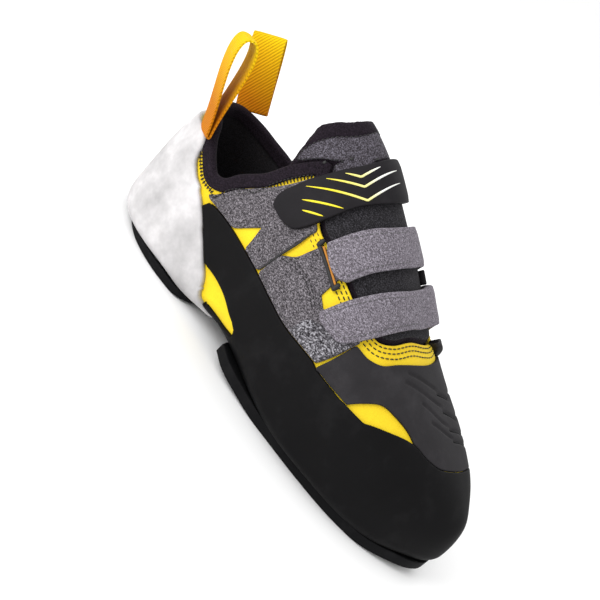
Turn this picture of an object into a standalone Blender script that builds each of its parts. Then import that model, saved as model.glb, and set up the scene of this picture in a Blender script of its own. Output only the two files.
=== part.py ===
"""Right climbing shoe: hollow upper on a last, rubber shells, straps and pull loops.

Metres, +X to the toe, +Y to the inner side of the foot, +Z up.
Every piece of the upper is cut from one family of nested forms that
share the same sections, so thicknesses and gaps follow the named sizes.
"""
import bpy
import bmesh
import numpy as np
from mathutils import Vector
from math import pi

# Driving sizes of the last
LAST_LENGTH = 0.240
BALL_WIDTH = 0.080
INSTEP_HEIGHT = 0.125
HEEL_SETBACK = 0.005
EDGE_RADIUS = 0.005

# Walls and clearances
GAP = 0.0003
UPPER_WALL = 0.002
INSOLE_THICKNESS = 0.002
TONGUE_THICKNESS = 0.003
TONGUE_PUFF = 0.001
PAD_SHARE = 0.8
RAND_THICKNESS = 0.0015
CUP_THICKNESS = 0.0027
PATCH_THICKNESS = 0.0013
BINDING_THICKNESS = 0.0012
OVERLAY_THICKNESS = 0.001
STRAP_THICKNESS = 0.0021
KEEPER_THICKNESS = 0.0016
SOLE_THICKNESS = 0.0045
SOLE_LIP = 0.0015
SOLE_EDGE_ROUND = 0.001

# Profile of the ground side
ARCH_RISE = 0.005
TOE_SPRING = 0.005
HEEL_FLAT_END = 0.245
ARCH_CREST = 0.385
BALL_FLAT_START = 0.60
BALL_FLAT_END = 0.87

# Openings and bottom
BOTTOM_HOLE_INSET = 0.016
INSOLE_INSET = 0.0108
TONGUE_LAP = 0.006
THROAT_CLEARANCE = 0.001

# Pull loops
LOOP_WIDTH = 0.017
LOOP_THICKNESS = 0.0014
OUTER_LOOP_RISE = 0.050
OUTER_LOOP_SPREAD = 0.0042
INNER_LOOP_RISE = 0.0387
INNER_LOOP_SPREAD = 0.0045
LOOP_STEPS = 22

# Grid of the forms
RINGS = 29
COLUMNS = 24
FLAKE_CORNERS = 8
SIDE_END = 0.2
BEND_END = 0.8

# Sections of the last, heel to toe. along: share of LAST_LENGTH.
# outer, inner, lean: share of BALL_WIDTH. lift, widest, top: share of
# INSTEP_HEIGHT, lift over the sole stack, the others over the ground.
# corner: radius of the lower edge as a share of EDGE_RADIUS. power: of the upper quarters.
SECTION_COLUMNS = ("along", "outer", "inner", "lift", "widest", "top",
                   "lean", "corner", "power")
SECTIONS = (
    (0.000,  0.000, 0.000, 0.280, 0.336, 0.336, 0.000, 0.8, 2.0),
    (0.010, -0.138, 0.138, 0.064, 0.336, 0.512, 0.000, 0.8, 2.0),
    (0.033, -0.225, 0.225, 0.012, 0.320, 0.696, 0.000, 0.8, 2.0),
    (0.075, -0.298, 0.298, 0.000, 0.304, 0.848, 0.000, 0.8, 2.0),
    (0.146, -0.338, 0.325, 0.000, 0.288, 0.944, 0.000, 0.8, 2.1),
    (0.229, -0.348, 0.319, 0.000, 0.288, 1.000, 0.013, 0.9, 2.1),
    (0.333, -0.385, 0.313, 0.000, 0.296, 0.964, 0.038, 1.6, 2.1),
    (0.438, -0.440, 0.338, 0.000, 0.272, 0.866, 0.050, 2.0, 2.1),
    (0.542, -0.488, 0.413, 0.000, 0.224, 0.742, 0.075, 1.5, 2.3),
    (0.646, -0.519, 0.481, 0.000, 0.168, 0.604, 0.100, 1.0, 2.5),
    (0.742, -0.503, 0.500, 0.000, 0.136, 0.504, 0.125, 1.0, 2.6),
    (0.833, -0.438, 0.458, 0.000, 0.132, 0.436, 0.130, 1.0, 2.6),
    (0.904, -0.330, 0.346, 0.000, 0.132, 0.376, 0.120, 1.0, 2.6),
    (0.958, -0.205, 0.190, 0.004, 0.136, 0.316, 0.070, 1.0, 2.5),
    (0.990, -0.095, 0.080, 0.016, 0.144, 0.256, 0.030, 1.0, 2.3),
    (1.000, -0.005, -0.005, 0.052, 0.152, 0.152, -0.005, 1.0, 2.0),
)

# Outlines of the two soles. along: share of LAST_LENGTH; outer, inner: of BALL_WIDTH.
OUTSOLE_OUTLINE = (
    (0.425, -0.425, 0.250),
    (0.455, -0.470, 0.340),
    (0.540, -0.485, 0.410),
    (0.628, -0.478, 0.475),
    (0.733, -0.460, 0.505),
    (0.825, -0.418, 0.465),
    (0.900, -0.338, 0.355),
    (0.955, -0.230, 0.215),
    (0.980, -0.165, 0.128),
    (0.993, -0.105, 0.062),
    (1.000, -0.045, 0.008),
)
HEEL_OUTLINE = (
    (0.028, -0.010, 0.010),
    (0.038, -0.100, 0.100),
    (0.062, -0.205, 0.188),
    (0.105, -0.300, 0.275),
    (0.160, -0.352, 0.312),
    (0.225, -0.365, 0.318),
    (0.275, -0.340, 0.300),
    (0.305, -0.250, 0.240),
)

# Lines seen from the side: share of LAST_LENGTH and of INSTEP_HEIGHT.
COLLAR_OUTER = ((-0.1, 0.590), (0.033, 0.592), (0.066, 0.585), (0.096, 0.530), (0.128, 0.482),
                (0.156, 0.456), (0.174, 0.468), (0.197, 0.536), (0.233, 0.620), (0.255, 0.710),
                (0.281, 0.784), (0.318, 0.856), (0.365, 1.2))
COLLAR_INNER = ((-0.1, 0.590), (0.029, 0.598), (0.054, 0.590), (0.079, 0.584), (0.112, 0.577),
                (0.146, 0.575), (0.179, 0.574), (0.208, 0.590), (0.242, 0.640), (0.272, 0.715),
                (0.301, 0.790), (0.330, 0.856), (0.370, 1.2))
BINDING_OUTER = ((-0.1, 0.520), (0.033, 0.524), (0.078, 0.524), (0.109, 0.432), (0.138, 0.396),
                 (0.165, 0.393), (0.215, 0.512), (0.274, 0.660), (0.297, 0.744), (0.312, 0.808),
                 (0.354, 1.1))
BINDING_INNER = ((-0.1, 0.520), (0.029, 0.520), (0.079, 0.508), (0.112, 0.500), (0.146, 0.498),
                 (0.179, 0.498), (0.217, 0.522), (0.254, 0.580), (0.290, 0.660), (0.318, 0.750),
                 (0.338, 0.820), (0.370, 1.1))
RAND_TOP = ((-0.1, 0.384), (0.180, 0.384), (0.255, 0.390), (0.315, 0.384), (0.376, 0.374),
            (0.434, 0.360), (0.490, 0.350), (0.540, 0.356), (0.603, 0.362), (0.688, 0.358),
            (0.708, 0.380), (0.730, 0.8), (1.1, 0.8))
CUP_SIDE = ((-0.10, -0.10), (0.375, -0.10), (0.375, 0.085), (0.318, 0.110), (0.297, 0.170),
            (0.265, 0.218), (0.219, 0.287), (0.178, 0.350), (0.154, 0.378), (0.140, 0.60),
            (-0.10, 0.60))
REAR_WINDOW_SIDE = ((0.262, 0.205), (0.300, 0.214), (0.350, 0.206), (0.390, 0.182),
                    (0.426, 0.156), (0.430, 0.138), (0.400, 0.122), (0.350, 0.116),
                    (0.305, 0.120), (0.275, 0.160))
REAR_QUARTER_SIDE = ((0.135, 0.330), (0.180, 0.350), (0.225, 0.388), (0.262, 0.394),
                     (0.285, 0.440), (0.307, 0.490), (0.311, 0.450), (0.316, 0.340),
                     (0.368, 0.340), (0.370, 0.400), (0.376, 0.488), (0.383, 0.592),
                     (0.396, 0.720), (0.385, 0.860), (0.270, 0.900), (0.135, 0.900))
FRONT_QUARTER_SIDE = ((0.371, 0.340), (0.373, 0.400), (0.379, 0.490), (0.402, 0.536),
                      (0.412, 0.592), (0.424, 0.652), (0.445, 0.690), (0.487, 0.656),
                      (0.492, 0.524), (0.515, 0.500), (0.537, 0.520), (0.570, 0.548),
                      (0.608, 0.516), (0.601, 0.440), (0.583, 0.340))
INNER_QUARTER_SIDE = ((0.135, 0.340), (0.583, 0.340), (0.601, 0.440), (0.608, 0.516),
                      (0.530, 0.610), (0.410, 0.720), (0.375, 0.860), (0.270, 0.900),
                      (0.135, 0.900))
TONGUE_SIDE = ((0.215, 0.480), (0.209, 0.620), (0.208, 0.760), (0.217, 0.860), (0.236, 0.930),
               (0.256, 0.975), (0.272, 1.05), (0.700, 1.05), (0.700, 0.300), (0.300, 0.300))
TOP_STRAP_OUTER = ((0.308, 0.576), (0.340, 0.576), (0.360, 0.592), (0.368, 0.616),
                   (0.385, 0.704), (0.402, 0.808), (0.430, 0.888), (0.446, 1.08),
                   (0.358, 1.08), (0.345, 0.920), (0.319, 0.816), (0.294, 0.700),
                   (0.285, 0.610), (0.291, 0.583))
TOP_STRAP_INNER = ((0.310, 0.500), (0.362, 0.500), (0.372, 0.616), (0.385, 0.704),
                   (0.402, 0.808), (0.430, 0.888), (0.446, 1.08), (0.358, 1.08),
                   (0.345, 0.920), (0.319, 0.816), (0.300, 0.700), (0.296, 0.560))
MIDDLE_STRAP_OUTER = ((0.421, 0.650), (0.428, 0.640), (0.494, 0.604), (0.503, 0.612),
                      (0.507, 0.640), (0.516, 0.692), (0.527, 0.728), (0.540, 0.768),
                      (0.552, 0.900), (0.482, 0.900), (0.469, 0.836), (0.448, 0.784),
                      (0.436, 0.739), (0.425, 0.676))
MIDDLE_STRAP_INNER = ((0.440, 0.470), (0.520, 0.470), (0.524, 0.624), (0.527, 0.692),
                      (0.532, 0.728), (0.540, 0.768), (0.552, 0.900), (0.482, 0.900),
                      (0.469, 0.836), (0.454, 0.784), (0.446, 0.739), (0.440, 0.656))
FRONT_STRAP_OUTER = ((0.517, 0.488), (0.529, 0.471), (0.555, 0.466), (0.587, 0.472),
                     (0.595, 0.488), (0.609, 0.534), (0.631, 0.614), (0.646, 0.640),
                     (0.655, 0.760), (0.592, 0.760), (0.578, 0.712), (0.563, 0.686),
                     (0.536, 0.598))
FRONT_STRAP_INNER = ((0.545, 0.400), (0.622, 0.400), (0.628, 0.534), (0.636, 0.614),
                     (0.646, 0.640), (0.655, 0.760), (0.592, 0.760), (0.578, 0.712),
                     (0.563, 0.686), (0.548, 0.598))
MIDDLE_KEEPER_SIDE = ((0.526, 0.500), (0.541, 0.500), (0.544, 0.598), (0.559, 0.690),
                      (0.573, 0.718), (0.573, 0.738), (0.548, 0.760), (0.538, 0.728),
                      (0.532, 0.692), (0.529, 0.624))
FRONT_KEEPER_SIDE = ((0.640, 0.360), (0.672, 0.360), (0.672, 0.560), (0.660, 0.590))

# Outlines seen from above: share of LAST_LENGTH and of BALL_WIDTH.
THROAT_PLAN = ((0.300, -0.225), (0.392, -0.319), (0.425, -0.325), (0.504, -0.331),
               (0.560, -0.325), (0.604, -0.300), (0.626, -0.268), (0.642, -0.200),
               (0.652, -0.050), (0.656, 0.284), (0.640, 0.330), (0.604, 0.356),
               (0.540, 0.362), (0.425, 0.325), (0.333, 0.275), (0.300, 0.240))
TONGUE_REAR_PLAN = ((0.203, 0.020), (0.207, -0.090), (0.222, -0.200), (0.250, -0.300),
                    (0.300, -0.330), (0.392, -0.330), (0.392, 0.290), (0.333, 0.270),
                    (0.245, 0.240), (0.203, 0.215))
CAP_PLAN = ((0.582, -0.90), (0.583, -0.510), (0.599, -0.455), (0.607, -0.368),
            (0.641, -0.335), (0.662, -0.284), (0.674, -0.201), (0.690, 0.299),
            (0.676, 0.385), (0.640, 0.440), (0.600, 0.520), (0.597, 0.90),
            (0.700, 0.90), (0.740, 0.500), (0.815, 0.435), (0.868, 0.380),
            (0.900, 0.290), (0.904, 0.200), (0.896, 0.020), (0.875, -0.112),
            (0.850, -0.175), (0.817, -0.225), (0.765, -0.345), (0.722, -0.433),
            (0.695, -0.481), (0.671, -0.496), (0.671, -0.90))
CRESCENT_PLAN = ((0.660, -0.90), (0.671, -0.490), (0.684, -0.454), (0.702, -0.399),
                 (0.722, -0.334), (0.755, -0.279), (0.792, -0.236), (0.822, -0.223),
                 (0.822, -0.90))

# Height under which the outlines seen from above do not cut
THROAT_FOOT = 0.300
CAP_FOOT = 0.352

# Pull loops: place of the foot of the loop as shares of length, width and instep height
OUTER_LOOP_FOOT = (0.074, -0.313, 0.532)
INNER_LOOP_FOOT = (0.040, 0.190, 0.610)
OUTER_LOOP_UP = (-0.304, 0.00, 0.953)
OUTER_LOOP_ACROSS = (0.52, -0.84, 0.17)
INNER_LOOP_UP = (-0.49, -0.03, 0.87)
INNER_LOOP_ACROSS = (0.80, 0.38, 0.45)

# Colours: red, green, blue, roughness
YELLOW = (0.92, 0.60, 0.02, 0.7)
RUBBER = (0.012, 0.012, 0.013, 0.55)
OFF_WHITE = (0.80, 0.78, 0.77, 0.5)
CHARCOAL = (0.035, 0.032, 0.035, 0.7)
GREY_CLOTH = (0.19, 0.17, 0.19, 0.9)
DARK_CLOTH = (0.022, 0.018, 0.024, 0.85)
BOARD = (0.45, 0.42, 0.36, 0.8)

# Depth order of the nested forms
OVER_UPPER = GAP
RAND_FACE = OVER_UPPER + RAND_THICKNESS
CUP_FACE = OVER_UPPER + CUP_THICKNESS
PATCH_FACE = OVER_UPPER + PATCH_THICKNESS
BINDING_FACE = OVER_UPPER + BINDING_THICKNESS
OVERLAY_FACE = OVER_UPPER + OVERLAY_THICKNESS
STRAP_SEAT = max(BINDING_FACE, OVERLAY_FACE) + GAP
STRAP_FACE = STRAP_SEAT + STRAP_THICKNESS
KEEPER_FACE = STRAP_SEAT + KEEPER_THICKNESS
TONGUE_SEAT = UPPER_WALL + GAP
STACK = SOLE_THICKNESS + GAP + RAND_FACE
REACH = BALL_WIDTH
EDGE = 1e-4


def section_table():
    """The section table with its lengths in metres."""
    scale = (1, BALL_WIDTH, BALL_WIDTH, INSTEP_HEIGHT, INSTEP_HEIGHT, INSTEP_HEIGHT,
             BALL_WIDTH, EDGE_RADIUS, 1)
    return np.array(SECTIONS) * np.array(scale)


TABLE = section_table()
KNOTS = np.arccos(1 - 2 * TABLE[:, 0]) / pi
STATIONS = np.linspace(0, 1, RINGS + 1)[1:-1]
RING_SHARES = (1 - np.cos(pi * STATIONS)) / 2


def column(name, station):
    """Smooth value of one table column at a station from 0, heel, to 1, toe."""
    value = TABLE[:, SECTION_COLUMNS.index(name)]
    step = np.diff(KNOTS)
    rate = np.diff(value) / step
    slope = np.empty(len(value))
    slope[0] = rate[0]
    slope[-1] = rate[-1]
    slope[1:-1] = (rate[:-1] * step[1:] + rate[1:] * step[:-1]) / (step[:-1] + step[1:])
    i = np.clip(np.searchsorted(KNOTS, station, side="right") - 1, 0, len(value) - 2)
    u = (station - KNOTS[i]) / step[i]
    start = (2 * u**3 - 3 * u**2 + 1) * value[i] + (u**3 - 2 * u**2 + u) * step[i] * slope[i]
    end = (3 * u**2 - 2 * u**3) * value[i + 1] + (u**3 - u**2) * step[i] * slope[i + 1]
    return start + end


def ease(u):
    """Smooth step from 0 to 1."""
    u = np.clip(u, 0, 1)
    return u * u * (3 - 2 * u)


def length_at(share):
    """Distance from the heel plane for a share of the last."""
    return HEEL_SETBACK + LAST_LENGTH * share


def ground(x):
    """Height of the tread under a point x: flat heel, arch, flat ball, toe spring."""
    share = (np.asarray(x) - HEEL_SETBACK) / LAST_LENGTH
    rise = ease((share - HEEL_FLAT_END) / (ARCH_CREST - HEEL_FLAT_END))
    fall = ease((share - ARCH_CREST) / (BALL_FLAT_START - ARCH_CREST))
    spring = ease((share - BALL_FLAT_END) / (1.03 - BALL_FLAT_END))
    return ARCH_RISE * rise * (1 - fall) + TOE_SPRING * spring


def lower_quarter(share, half, depth, radius):
    """Half width and drop on the way from the widest line to the middle of the bottom."""
    radius = np.minimum(radius, 0.85 * np.minimum(half, depth))
    side = np.clip(share / SIDE_END, 0, 1)
    bend = np.clip((share - SIDE_END) / (BEND_END - SIDE_END), 0, 1) * pi / 2
    flat = np.clip((share - BEND_END) / (1 - BEND_END), 0, 1)
    reach = (half - radius + radius * np.cos(bend)) - (half - radius) * flat
    drop = (depth - radius) * side + radius * np.sin(bend)
    return reach, drop


def last_point(station, turn):
    """Point of the last; turn 0 is the ridge, a quarter turn the inner side."""
    station, turn = np.broadcast_arrays(station, turn)
    x = length_at((1 - np.cos(pi * station)) / 2)
    outer = column("outer", station)
    inner = column("inner", station)
    widest = column("widest", station)
    top = column("top", station)
    floor = ground(x) + STACK + np.maximum(column("lift", station), 0)
    floor = np.minimum(floor, widest - EDGE)
    middle = (outer + inner) / 2
    half = (inner - outer) / 2
    across = np.sin(turn)
    upright = np.cos(turn)
    power = column("power", station)
    bulge = np.maximum(upright, 0) ** (2 / power)
    high_reach = half * np.abs(across) ** (2 / power)
    low_reach, drop = lower_quarter(np.arcsin(np.clip(-upright, 0, 1)) * 2 / pi, half,
                                    widest - floor, column("corner", station))
    y = middle + np.sign(across) * np.where(upright > 0, high_reach, low_reach)
    z = np.where(upright > 0, widest + (top - widest) * bulge, widest - drop)
    rise = np.clip((z - widest) / np.maximum(top - widest, EDGE), 0, 1)
    y = y + (column("lean", station) - middle) * rise**2
    return np.stack([x, y, z], -1)


def form_point(station, turn, depth):
    """Point of the form that lies depth outside the last; inside it the edges stay round."""
    depth = np.where(np.cos(turn) < 0, max(depth, -UPPER_WALL), depth)[..., None]
    before = np.clip(station - EDGE, EDGE, 1 - EDGE)
    after = np.clip(station + EDGE, EDGE, 1 - EDGE)
    along = last_point(after, turn) - last_point(before, turn)
    around = last_point(station, turn + EDGE) - last_point(station, turn - EDGE)
    outward = np.cross(along, around)
    outward /= np.linalg.norm(outward, axis=-1, keepdims=True)
    return last_point(station, turn) + outward * depth


def new_object(name, mesh):
    piece = bpy.data.objects.new(name, mesh)
    SHOE.objects.link(piece)
    return piece


def mesh_object(name, corners, faces):
    """Object from corners and faces, with its faces turned outward."""
    mesh = bpy.data.meshes.new(name)
    mesh.from_pydata([tuple(c) for c in corners], [], faces)
    shape = bmesh.new()
    shape.from_mesh(mesh)
    bmesh.ops.recalc_face_normals(shape, faces=shape.faces)
    shape.to_mesh(mesh)
    shape.free()
    return new_object(name, mesh)


def form(depth):
    """Closed form of the last, depth metres outside it."""
    stations = STATIONS
    turns = np.linspace(0, 2 * pi, COLUMNS, endpoint=False)
    grid = form_point(stations[:, None], turns[None, :], depth)
    corners = [tuple(p) for p in grid.reshape(-1, 3)]
    heel = last_point(np.array(0.0), np.array(0.0)) - np.array([depth, 0, 0])
    toe = last_point(np.array(1.0), np.array(0.0)) + np.array([depth, 0, 0])
    corners += [tuple(heel), tuple(toe)]
    heel_pole = len(corners) - 2
    toe_pole = len(corners) - 1
    last_ring = (len(stations) - 1) * COLUMNS
    faces = []
    for j in range(COLUMNS):
        k = (j + 1) % COLUMNS
        faces.append((heel_pole, j, k))
        faces.append((toe_pole, last_ring + k, last_ring + j))
        for i in range(len(stations) - 1):
            near = i * COLUMNS
            far = near + COLUMNS
            faces.append((near + j, far + j, far + k))
            faces.append((near + j, far + k, near + k))
    return mesh_object("form", corners, faces)


def boolean(piece, tool, operation):
    """Apply an exact Boolean and drop the tool."""
    change = piece.modifiers.new(operation.lower(), "BOOLEAN")
    change.operation = operation
    change.solver = "EXACT"
    change.object = tool
    view = bpy.context.evaluated_depsgraph_get()
    mesh = bpy.data.meshes.new_from_object(piece.evaluated_get(view))
    piece.modifiers.clear()
    piece.data = mesh
    bpy.data.objects.remove(tool)
    return piece


def drop_flakes(piece):
    """Remove the flat slivers that a Boolean can leave beside the body."""
    shape = bmesh.new()
    shape.from_mesh(piece.data)
    left = set(shape.verts)
    while left:
        island = {left.pop()}
        front = set(island)
        while front:
            front = {e.other_vert(v) for v in front for e in v.link_edges} - island
            island |= front
        left -= island
        if len(island) < FLAKE_CORNERS:
            bmesh.ops.delete(shape, geom=list(island), context="VERTS")
    shape.to_mesh(piece.data)
    shape.free()
    return piece


def cut(piece, tool):
    return boolean(piece, tool, "DIFFERENCE")


def keep(piece, tool):
    return boolean(piece, tool, "INTERSECT")


def join(piece, other):
    return boolean(piece, other, "UNION")


def shell(outside, inside):
    """Hollow form between two depths."""
    return cut(form(outside), form(inside))


def grow(outline, margin):
    """Closed outline moved outward by a margin."""
    points = [Vector(p) for p in outline]
    count = len(points)
    turning = sum(points[i].x * points[(i + 1) % count].y - points[(i + 1) % count].x * points[i].y
                  for i in range(count))
    side = 1 if turning > 0 else -1
    grown = []
    for i in range(count):
        before = (points[i] - points[i - 1]).normalized()
        after = (points[(i + 1) % count] - points[i]).normalized()
        outward = side * (Vector((before.y, -before.x)) + Vector((after.y, -after.x)))
        outward.normalize()
        spread = max(0.5, outward.dot(side * Vector((before.y, -before.x))))
        grown.append(points[i] + outward * margin / spread)
    return [tuple(p) for p in grown]


def prism(outline, start, travel):
    """Closed prism: an outline of corners at start, swept along travel."""
    shape = bmesh.new()
    corners = [shape.verts.new(start(p)) for p in outline]
    face = shape.faces.new(corners)
    swept = bmesh.ops.extrude_face_region(shape, geom=[face])
    moved = [g for g in swept["geom"] if isinstance(g, bmesh.types.BMVert)]
    bmesh.ops.translate(shape, verts=moved, vec=travel)
    bmesh.ops.recalc_face_normals(shape, faces=shape.faces)
    mesh = bpy.data.meshes.new("prism")
    shape.to_mesh(mesh)
    shape.free()
    return new_object("prism", mesh)


def side_prism(shares, margin=0.0, from_y=-REACH, to_y=REACH):
    """Prism whose outline is seen from the side."""
    outline = [(length_at(a), INSTEP_HEIGHT * h) for a, h in shares]
    outline = grow(outline, margin) if margin else outline
    return prism(outline, lambda p: (p[0], from_y, p[1]), (0, to_y - from_y, 0))


def plan_prism(shares, margin=0.0, low=-REACH, high=2 * INSTEP_HEIGHT):
    """Prism whose outline is seen from above."""
    outline = [(length_at(a), BALL_WIDTH * w) for a, w in shares]
    outline = grow(outline, margin) if margin else outline
    return prism(outline, lambda p: (p[0], p[1], low), (0, 0, high - low))


def two_sided(outer_shares, inner_shares, margin=0.0):
    """Side prism with one outline on the outer half and another on the inner half."""
    outer = side_prism(outer_shares, margin, -REACH, EDGE)
    inner = side_prism(inner_shares, margin, -EDGE, REACH)
    return join(outer, inner)


def line_block(outer_line, inner_line, margin, above):
    """Block above or below a line that runs over both sides of the shoe."""
    lengths = sorted({a for a, _ in outer_line} | {a for a, _ in inner_line})
    blend = (-1.0, -0.14, -0.07, 0.0, 0.07, 0.14, 1.0)
    far = 2 * INSTEP_HEIGHT if above else -REACH
    outer_height = np.interp(lengths, *zip(*outer_line))
    inner_height = np.interp(lengths, *zip(*inner_line))
    corners = []
    for i, share in enumerate(lengths):
        for b in blend:
            weight = float(ease((b + 0.14) / 0.28))
            height = (1 - weight) * outer_height[i] + weight * inner_height[i]
            corners.append((length_at(share), b * REACH, height * INSTEP_HEIGHT + margin))
    level = len(corners)
    corners += [(x, y, far) for x, y, _ in corners[:level]]
    wide = len(blend)
    faces = []
    for i in range(len(lengths) - 1):
        for j in range(wide - 1):
            a = i * wide + j
            faces.append((a, a + 1, a + wide + 1, a + wide))
            faces.append((level + a, level + a + wide, level + a + wide + 1, level + a + 1))
    rim = [j for j in range(wide)]
    rim += [i * wide + wide - 1 for i in range(1, len(lengths))]
    rim += [(len(lengths) - 1) * wide + j for j in range(wide - 2, -1, -1)]
    rim += [i * wide for i in range(len(lengths) - 2, 0, -1)]
    for a, b in zip(rim, rim[1:] + rim[:1]):
        faces.append((a, b, level + b, level + a))
    return mesh_object("line_block", corners, faces)


def rings_between(start, end):
    """Shares of the length at the two ends and at the rings of the forms between them."""
    inside = RING_SHARES[(RING_SHARES > start + 0.003) & (RING_SHARES < end - 0.003)]
    return np.concatenate([[start], inside, [end]])


def bottom_plan(inset, start, end):
    """Outline of the flat of the last seen from above, inset from its sides."""
    stations = np.arccos(1 - 2 * rings_between(start, end)) / pi
    outer = column("outer", stations) + inset
    inner = column("inner", stations) - inset
    along = (1 - np.cos(pi * stations)) / 2
    outline = [(a, y / BALL_WIDTH) for a, y in zip(along, outer)]
    outline += [(a, y / BALL_WIDTH) for a, y in zip(along[::-1], inner[::-1])]
    return outline


def bottom_tool(inset, start, end):
    return plan_prism(bottom_plan(inset, start, end), high=STACK + ARCH_RISE + SOLE_THICKNESS)


def slab(name, outline, rise, thickness):
    """Slab with a rounded lower edge that lies rise above the ground and follows it."""
    table = np.array(outline)
    shares = rings_between(table[0, 0], table[-1, 0])
    outer = np.interp(shares, table[:, 0], table[:, 1]) * BALL_WIDTH
    inner = np.interp(shares, table[:, 0], table[:, 2]) * BALL_WIDTH
    corners = []
    for share, left, right in zip(shares, outer, inner):
        x = length_at(share)
        low = float(ground(x)) + rise
        high = low + thickness
        trim = min(SOLE_EDGE_ROUND, 0.3 * (right - left))
        corners += [(x, left + trim, low), (x, left, low + SOLE_EDGE_ROUND), (x, left, high),
                    (x, right, high), (x, right, low + SOLE_EDGE_ROUND), (x, right - trim, low)]
    faces = [tuple(range(6)), tuple(range(len(corners) - 6, len(corners)))]
    for i in range(len(shares) - 1):
        for j in range(6):
            k = (j + 1) % 6
            faces.append((6 * i + j, 6 * i + k, 6 * i + 6 + k, 6 * i + 6 + j))
    return mesh_object(name, corners, faces)


def ribbon_loop(name, foot, up, across, rise, spread):
    """Ribbon closed to a teardrop, standing on its foot."""
    base = Vector((length_at(foot[0]), BALL_WIDTH * foot[1], INSTEP_HEIGHT * foot[2]))
    upward = Vector(up).normalized()
    width = Vector(across)
    width = (width - width.dot(upward) * upward).normalized()
    aside = upward.cross(width)
    corners = []
    for i in range(LOOP_STEPS):
        angle = 2 * pi * i / LOOP_STEPS
        high = rise * (1 - np.cos(angle)) / 2
        side = spread * np.sin(angle) * abs(np.sin(angle / 2)) ** 0.7
        middle = base + upward * high + aside * (side + LOOP_THICKNESS * np.sign(np.sin(angle + 0.01)))
        corners += [middle - width * LOOP_WIDTH / 2, middle + width * LOOP_WIDTH / 2]
    faces = []
    for i in range(LOOP_STEPS):
        k = (i + 1) % LOOP_STEPS
        faces.append((2 * i, 2 * i + 1, 2 * k + 1, 2 * k))
    piece = mesh_object(name, corners, faces)
    wall = piece.modifiers.new("wall", "SOLIDIFY")
    wall.thickness = LOOP_THICKNESS
    wall.offset = 0
    view = bpy.context.evaluated_depsgraph_get()
    piece.data = bpy.data.meshes.new_from_object(piece.evaluated_get(view))
    piece.modifiers.clear()
    return piece


def finish(piece, name, colour):
    """Name the piece, give it its material and seat it under the shoe's empty."""
    piece.name = name
    piece.data.name = name
    material = bpy.data.materials.new(name)
    material.use_nodes = True
    shader = material.node_tree.nodes["Principled BSDF"]
    shader.inputs["Base Color"].default_value = (*colour[:3], 1)
    shader.inputs["Roughness"].default_value = colour[3]
    piece.data.materials.clear()
    piece.data.materials.append(material)
    piece.data.shade_smooth()
    piece.data.set_sharp_from_angle(angle=pi / 5)
    PIECES.append(piece)
    return piece


def make_upper():
    piece = shell(0, -UPPER_WALL)
    cut(piece, line_block(COLLAR_OUTER, COLLAR_INNER, 0, True))
    cut(piece, plan_prism(THROAT_PLAN, low=INSTEP_HEIGHT * THROAT_FOOT))
    cut(piece, bottom_tool(BOTTOM_HOLE_INSET, 0.12, 0.87))
    finish(piece, "upper", YELLOW)


def make_insole():
    plan = bottom_plan(INSOLE_INSET, 0.085, 0.90)
    half = len(plan) // 2
    outline = [(a, left, right) for (a, left), (_, right) in zip(plan[:half], plan[:half - 1:-1])]
    piece = slab("insole", outline, STACK + UPPER_WALL + 2 * GAP, INSOLE_THICKNESS)
    finish(piece, "insole", BOARD)


def make_tongue():
    low = INSTEP_HEIGHT * THROAT_FOOT
    piece = shell(-TONGUE_SEAT, -TONGUE_SEAT - TONGUE_THICKNESS)
    reach = plan_prism(THROAT_PLAN, TONGUE_LAP, low=low)
    area = join(reach, plan_prism(TONGUE_REAR_PLAN, low=low - GAP))
    keep(piece, keep(area, side_prism(TONGUE_SIDE, -GAP)))
    pad = shell(TONGUE_PUFF, -TONGUE_SEAT - TONGUE_THICKNESS * PAD_SHARE)
    throat = plan_prism(THROAT_PLAN, -THROAT_CLEARANCE, low=low)
    above_collar = line_block(COLLAR_OUTER, COLLAR_INNER, THROAT_CLEARANCE, True)
    rear = keep(plan_prism(TONGUE_REAR_PLAN, low=low - GAP), above_collar)
    keep(pad, keep(join(throat, rear), side_prism(TONGUE_SIDE)))
    join(piece, pad)
    finish(drop_flakes(piece), "tongue", DARK_CLOTH)


def make_rand():
    piece = shell(RAND_FACE, OVER_UPPER)
    keep(piece, line_block(RAND_TOP, RAND_TOP, 0, False))
    cut(piece, plan_prism(CAP_PLAN, low=INSTEP_HEIGHT * CAP_FOOT))
    cut(piece, side_prism(CUP_SIDE, GAP))
    cut(piece, side_prism(REAR_WINDOW_SIDE, 0, -REACH, 0))
    cut(piece, bottom_tool(BOTTOM_HOLE_INSET, 0.44, 0.87))
    finish(piece, "rand", RUBBER)


def make_toe_patch():
    piece = shell(PATCH_FACE, OVER_UPPER)
    keep(piece, plan_prism(CAP_PLAN, -GAP, low=INSTEP_HEIGHT * CAP_FOOT + GAP))
    cut(piece, line_block(RAND_TOP[:-3], RAND_TOP[:-3], GAP, False))
    cut(piece, plan_prism(CRESCENT_PLAN))
    finish(piece, "toe_patch", CHARCOAL)


def make_heel_cup():
    piece = shell(CUP_FACE, OVER_UPPER)
    keep(piece, side_prism(CUP_SIDE))
    cut(piece, line_block(BINDING_OUTER, BINDING_INNER, -GAP, True))
    finish(piece, "heel_cup", OFF_WHITE)


def make_soles():
    outsole = slab("outsole", OUTSOLE_OUTLINE, 0, SOLE_THICKNESS + SOLE_LIP)
    cut(outsole, form(RAND_FACE + GAP))
    finish(outsole, "outsole", RUBBER)
    heel = slab("heel_sole", HEEL_OUTLINE, 0, SOLE_THICKNESS)
    cut(heel, form(CUP_FACE + GAP))
    finish(heel, "heel_sole", RUBBER)


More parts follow.
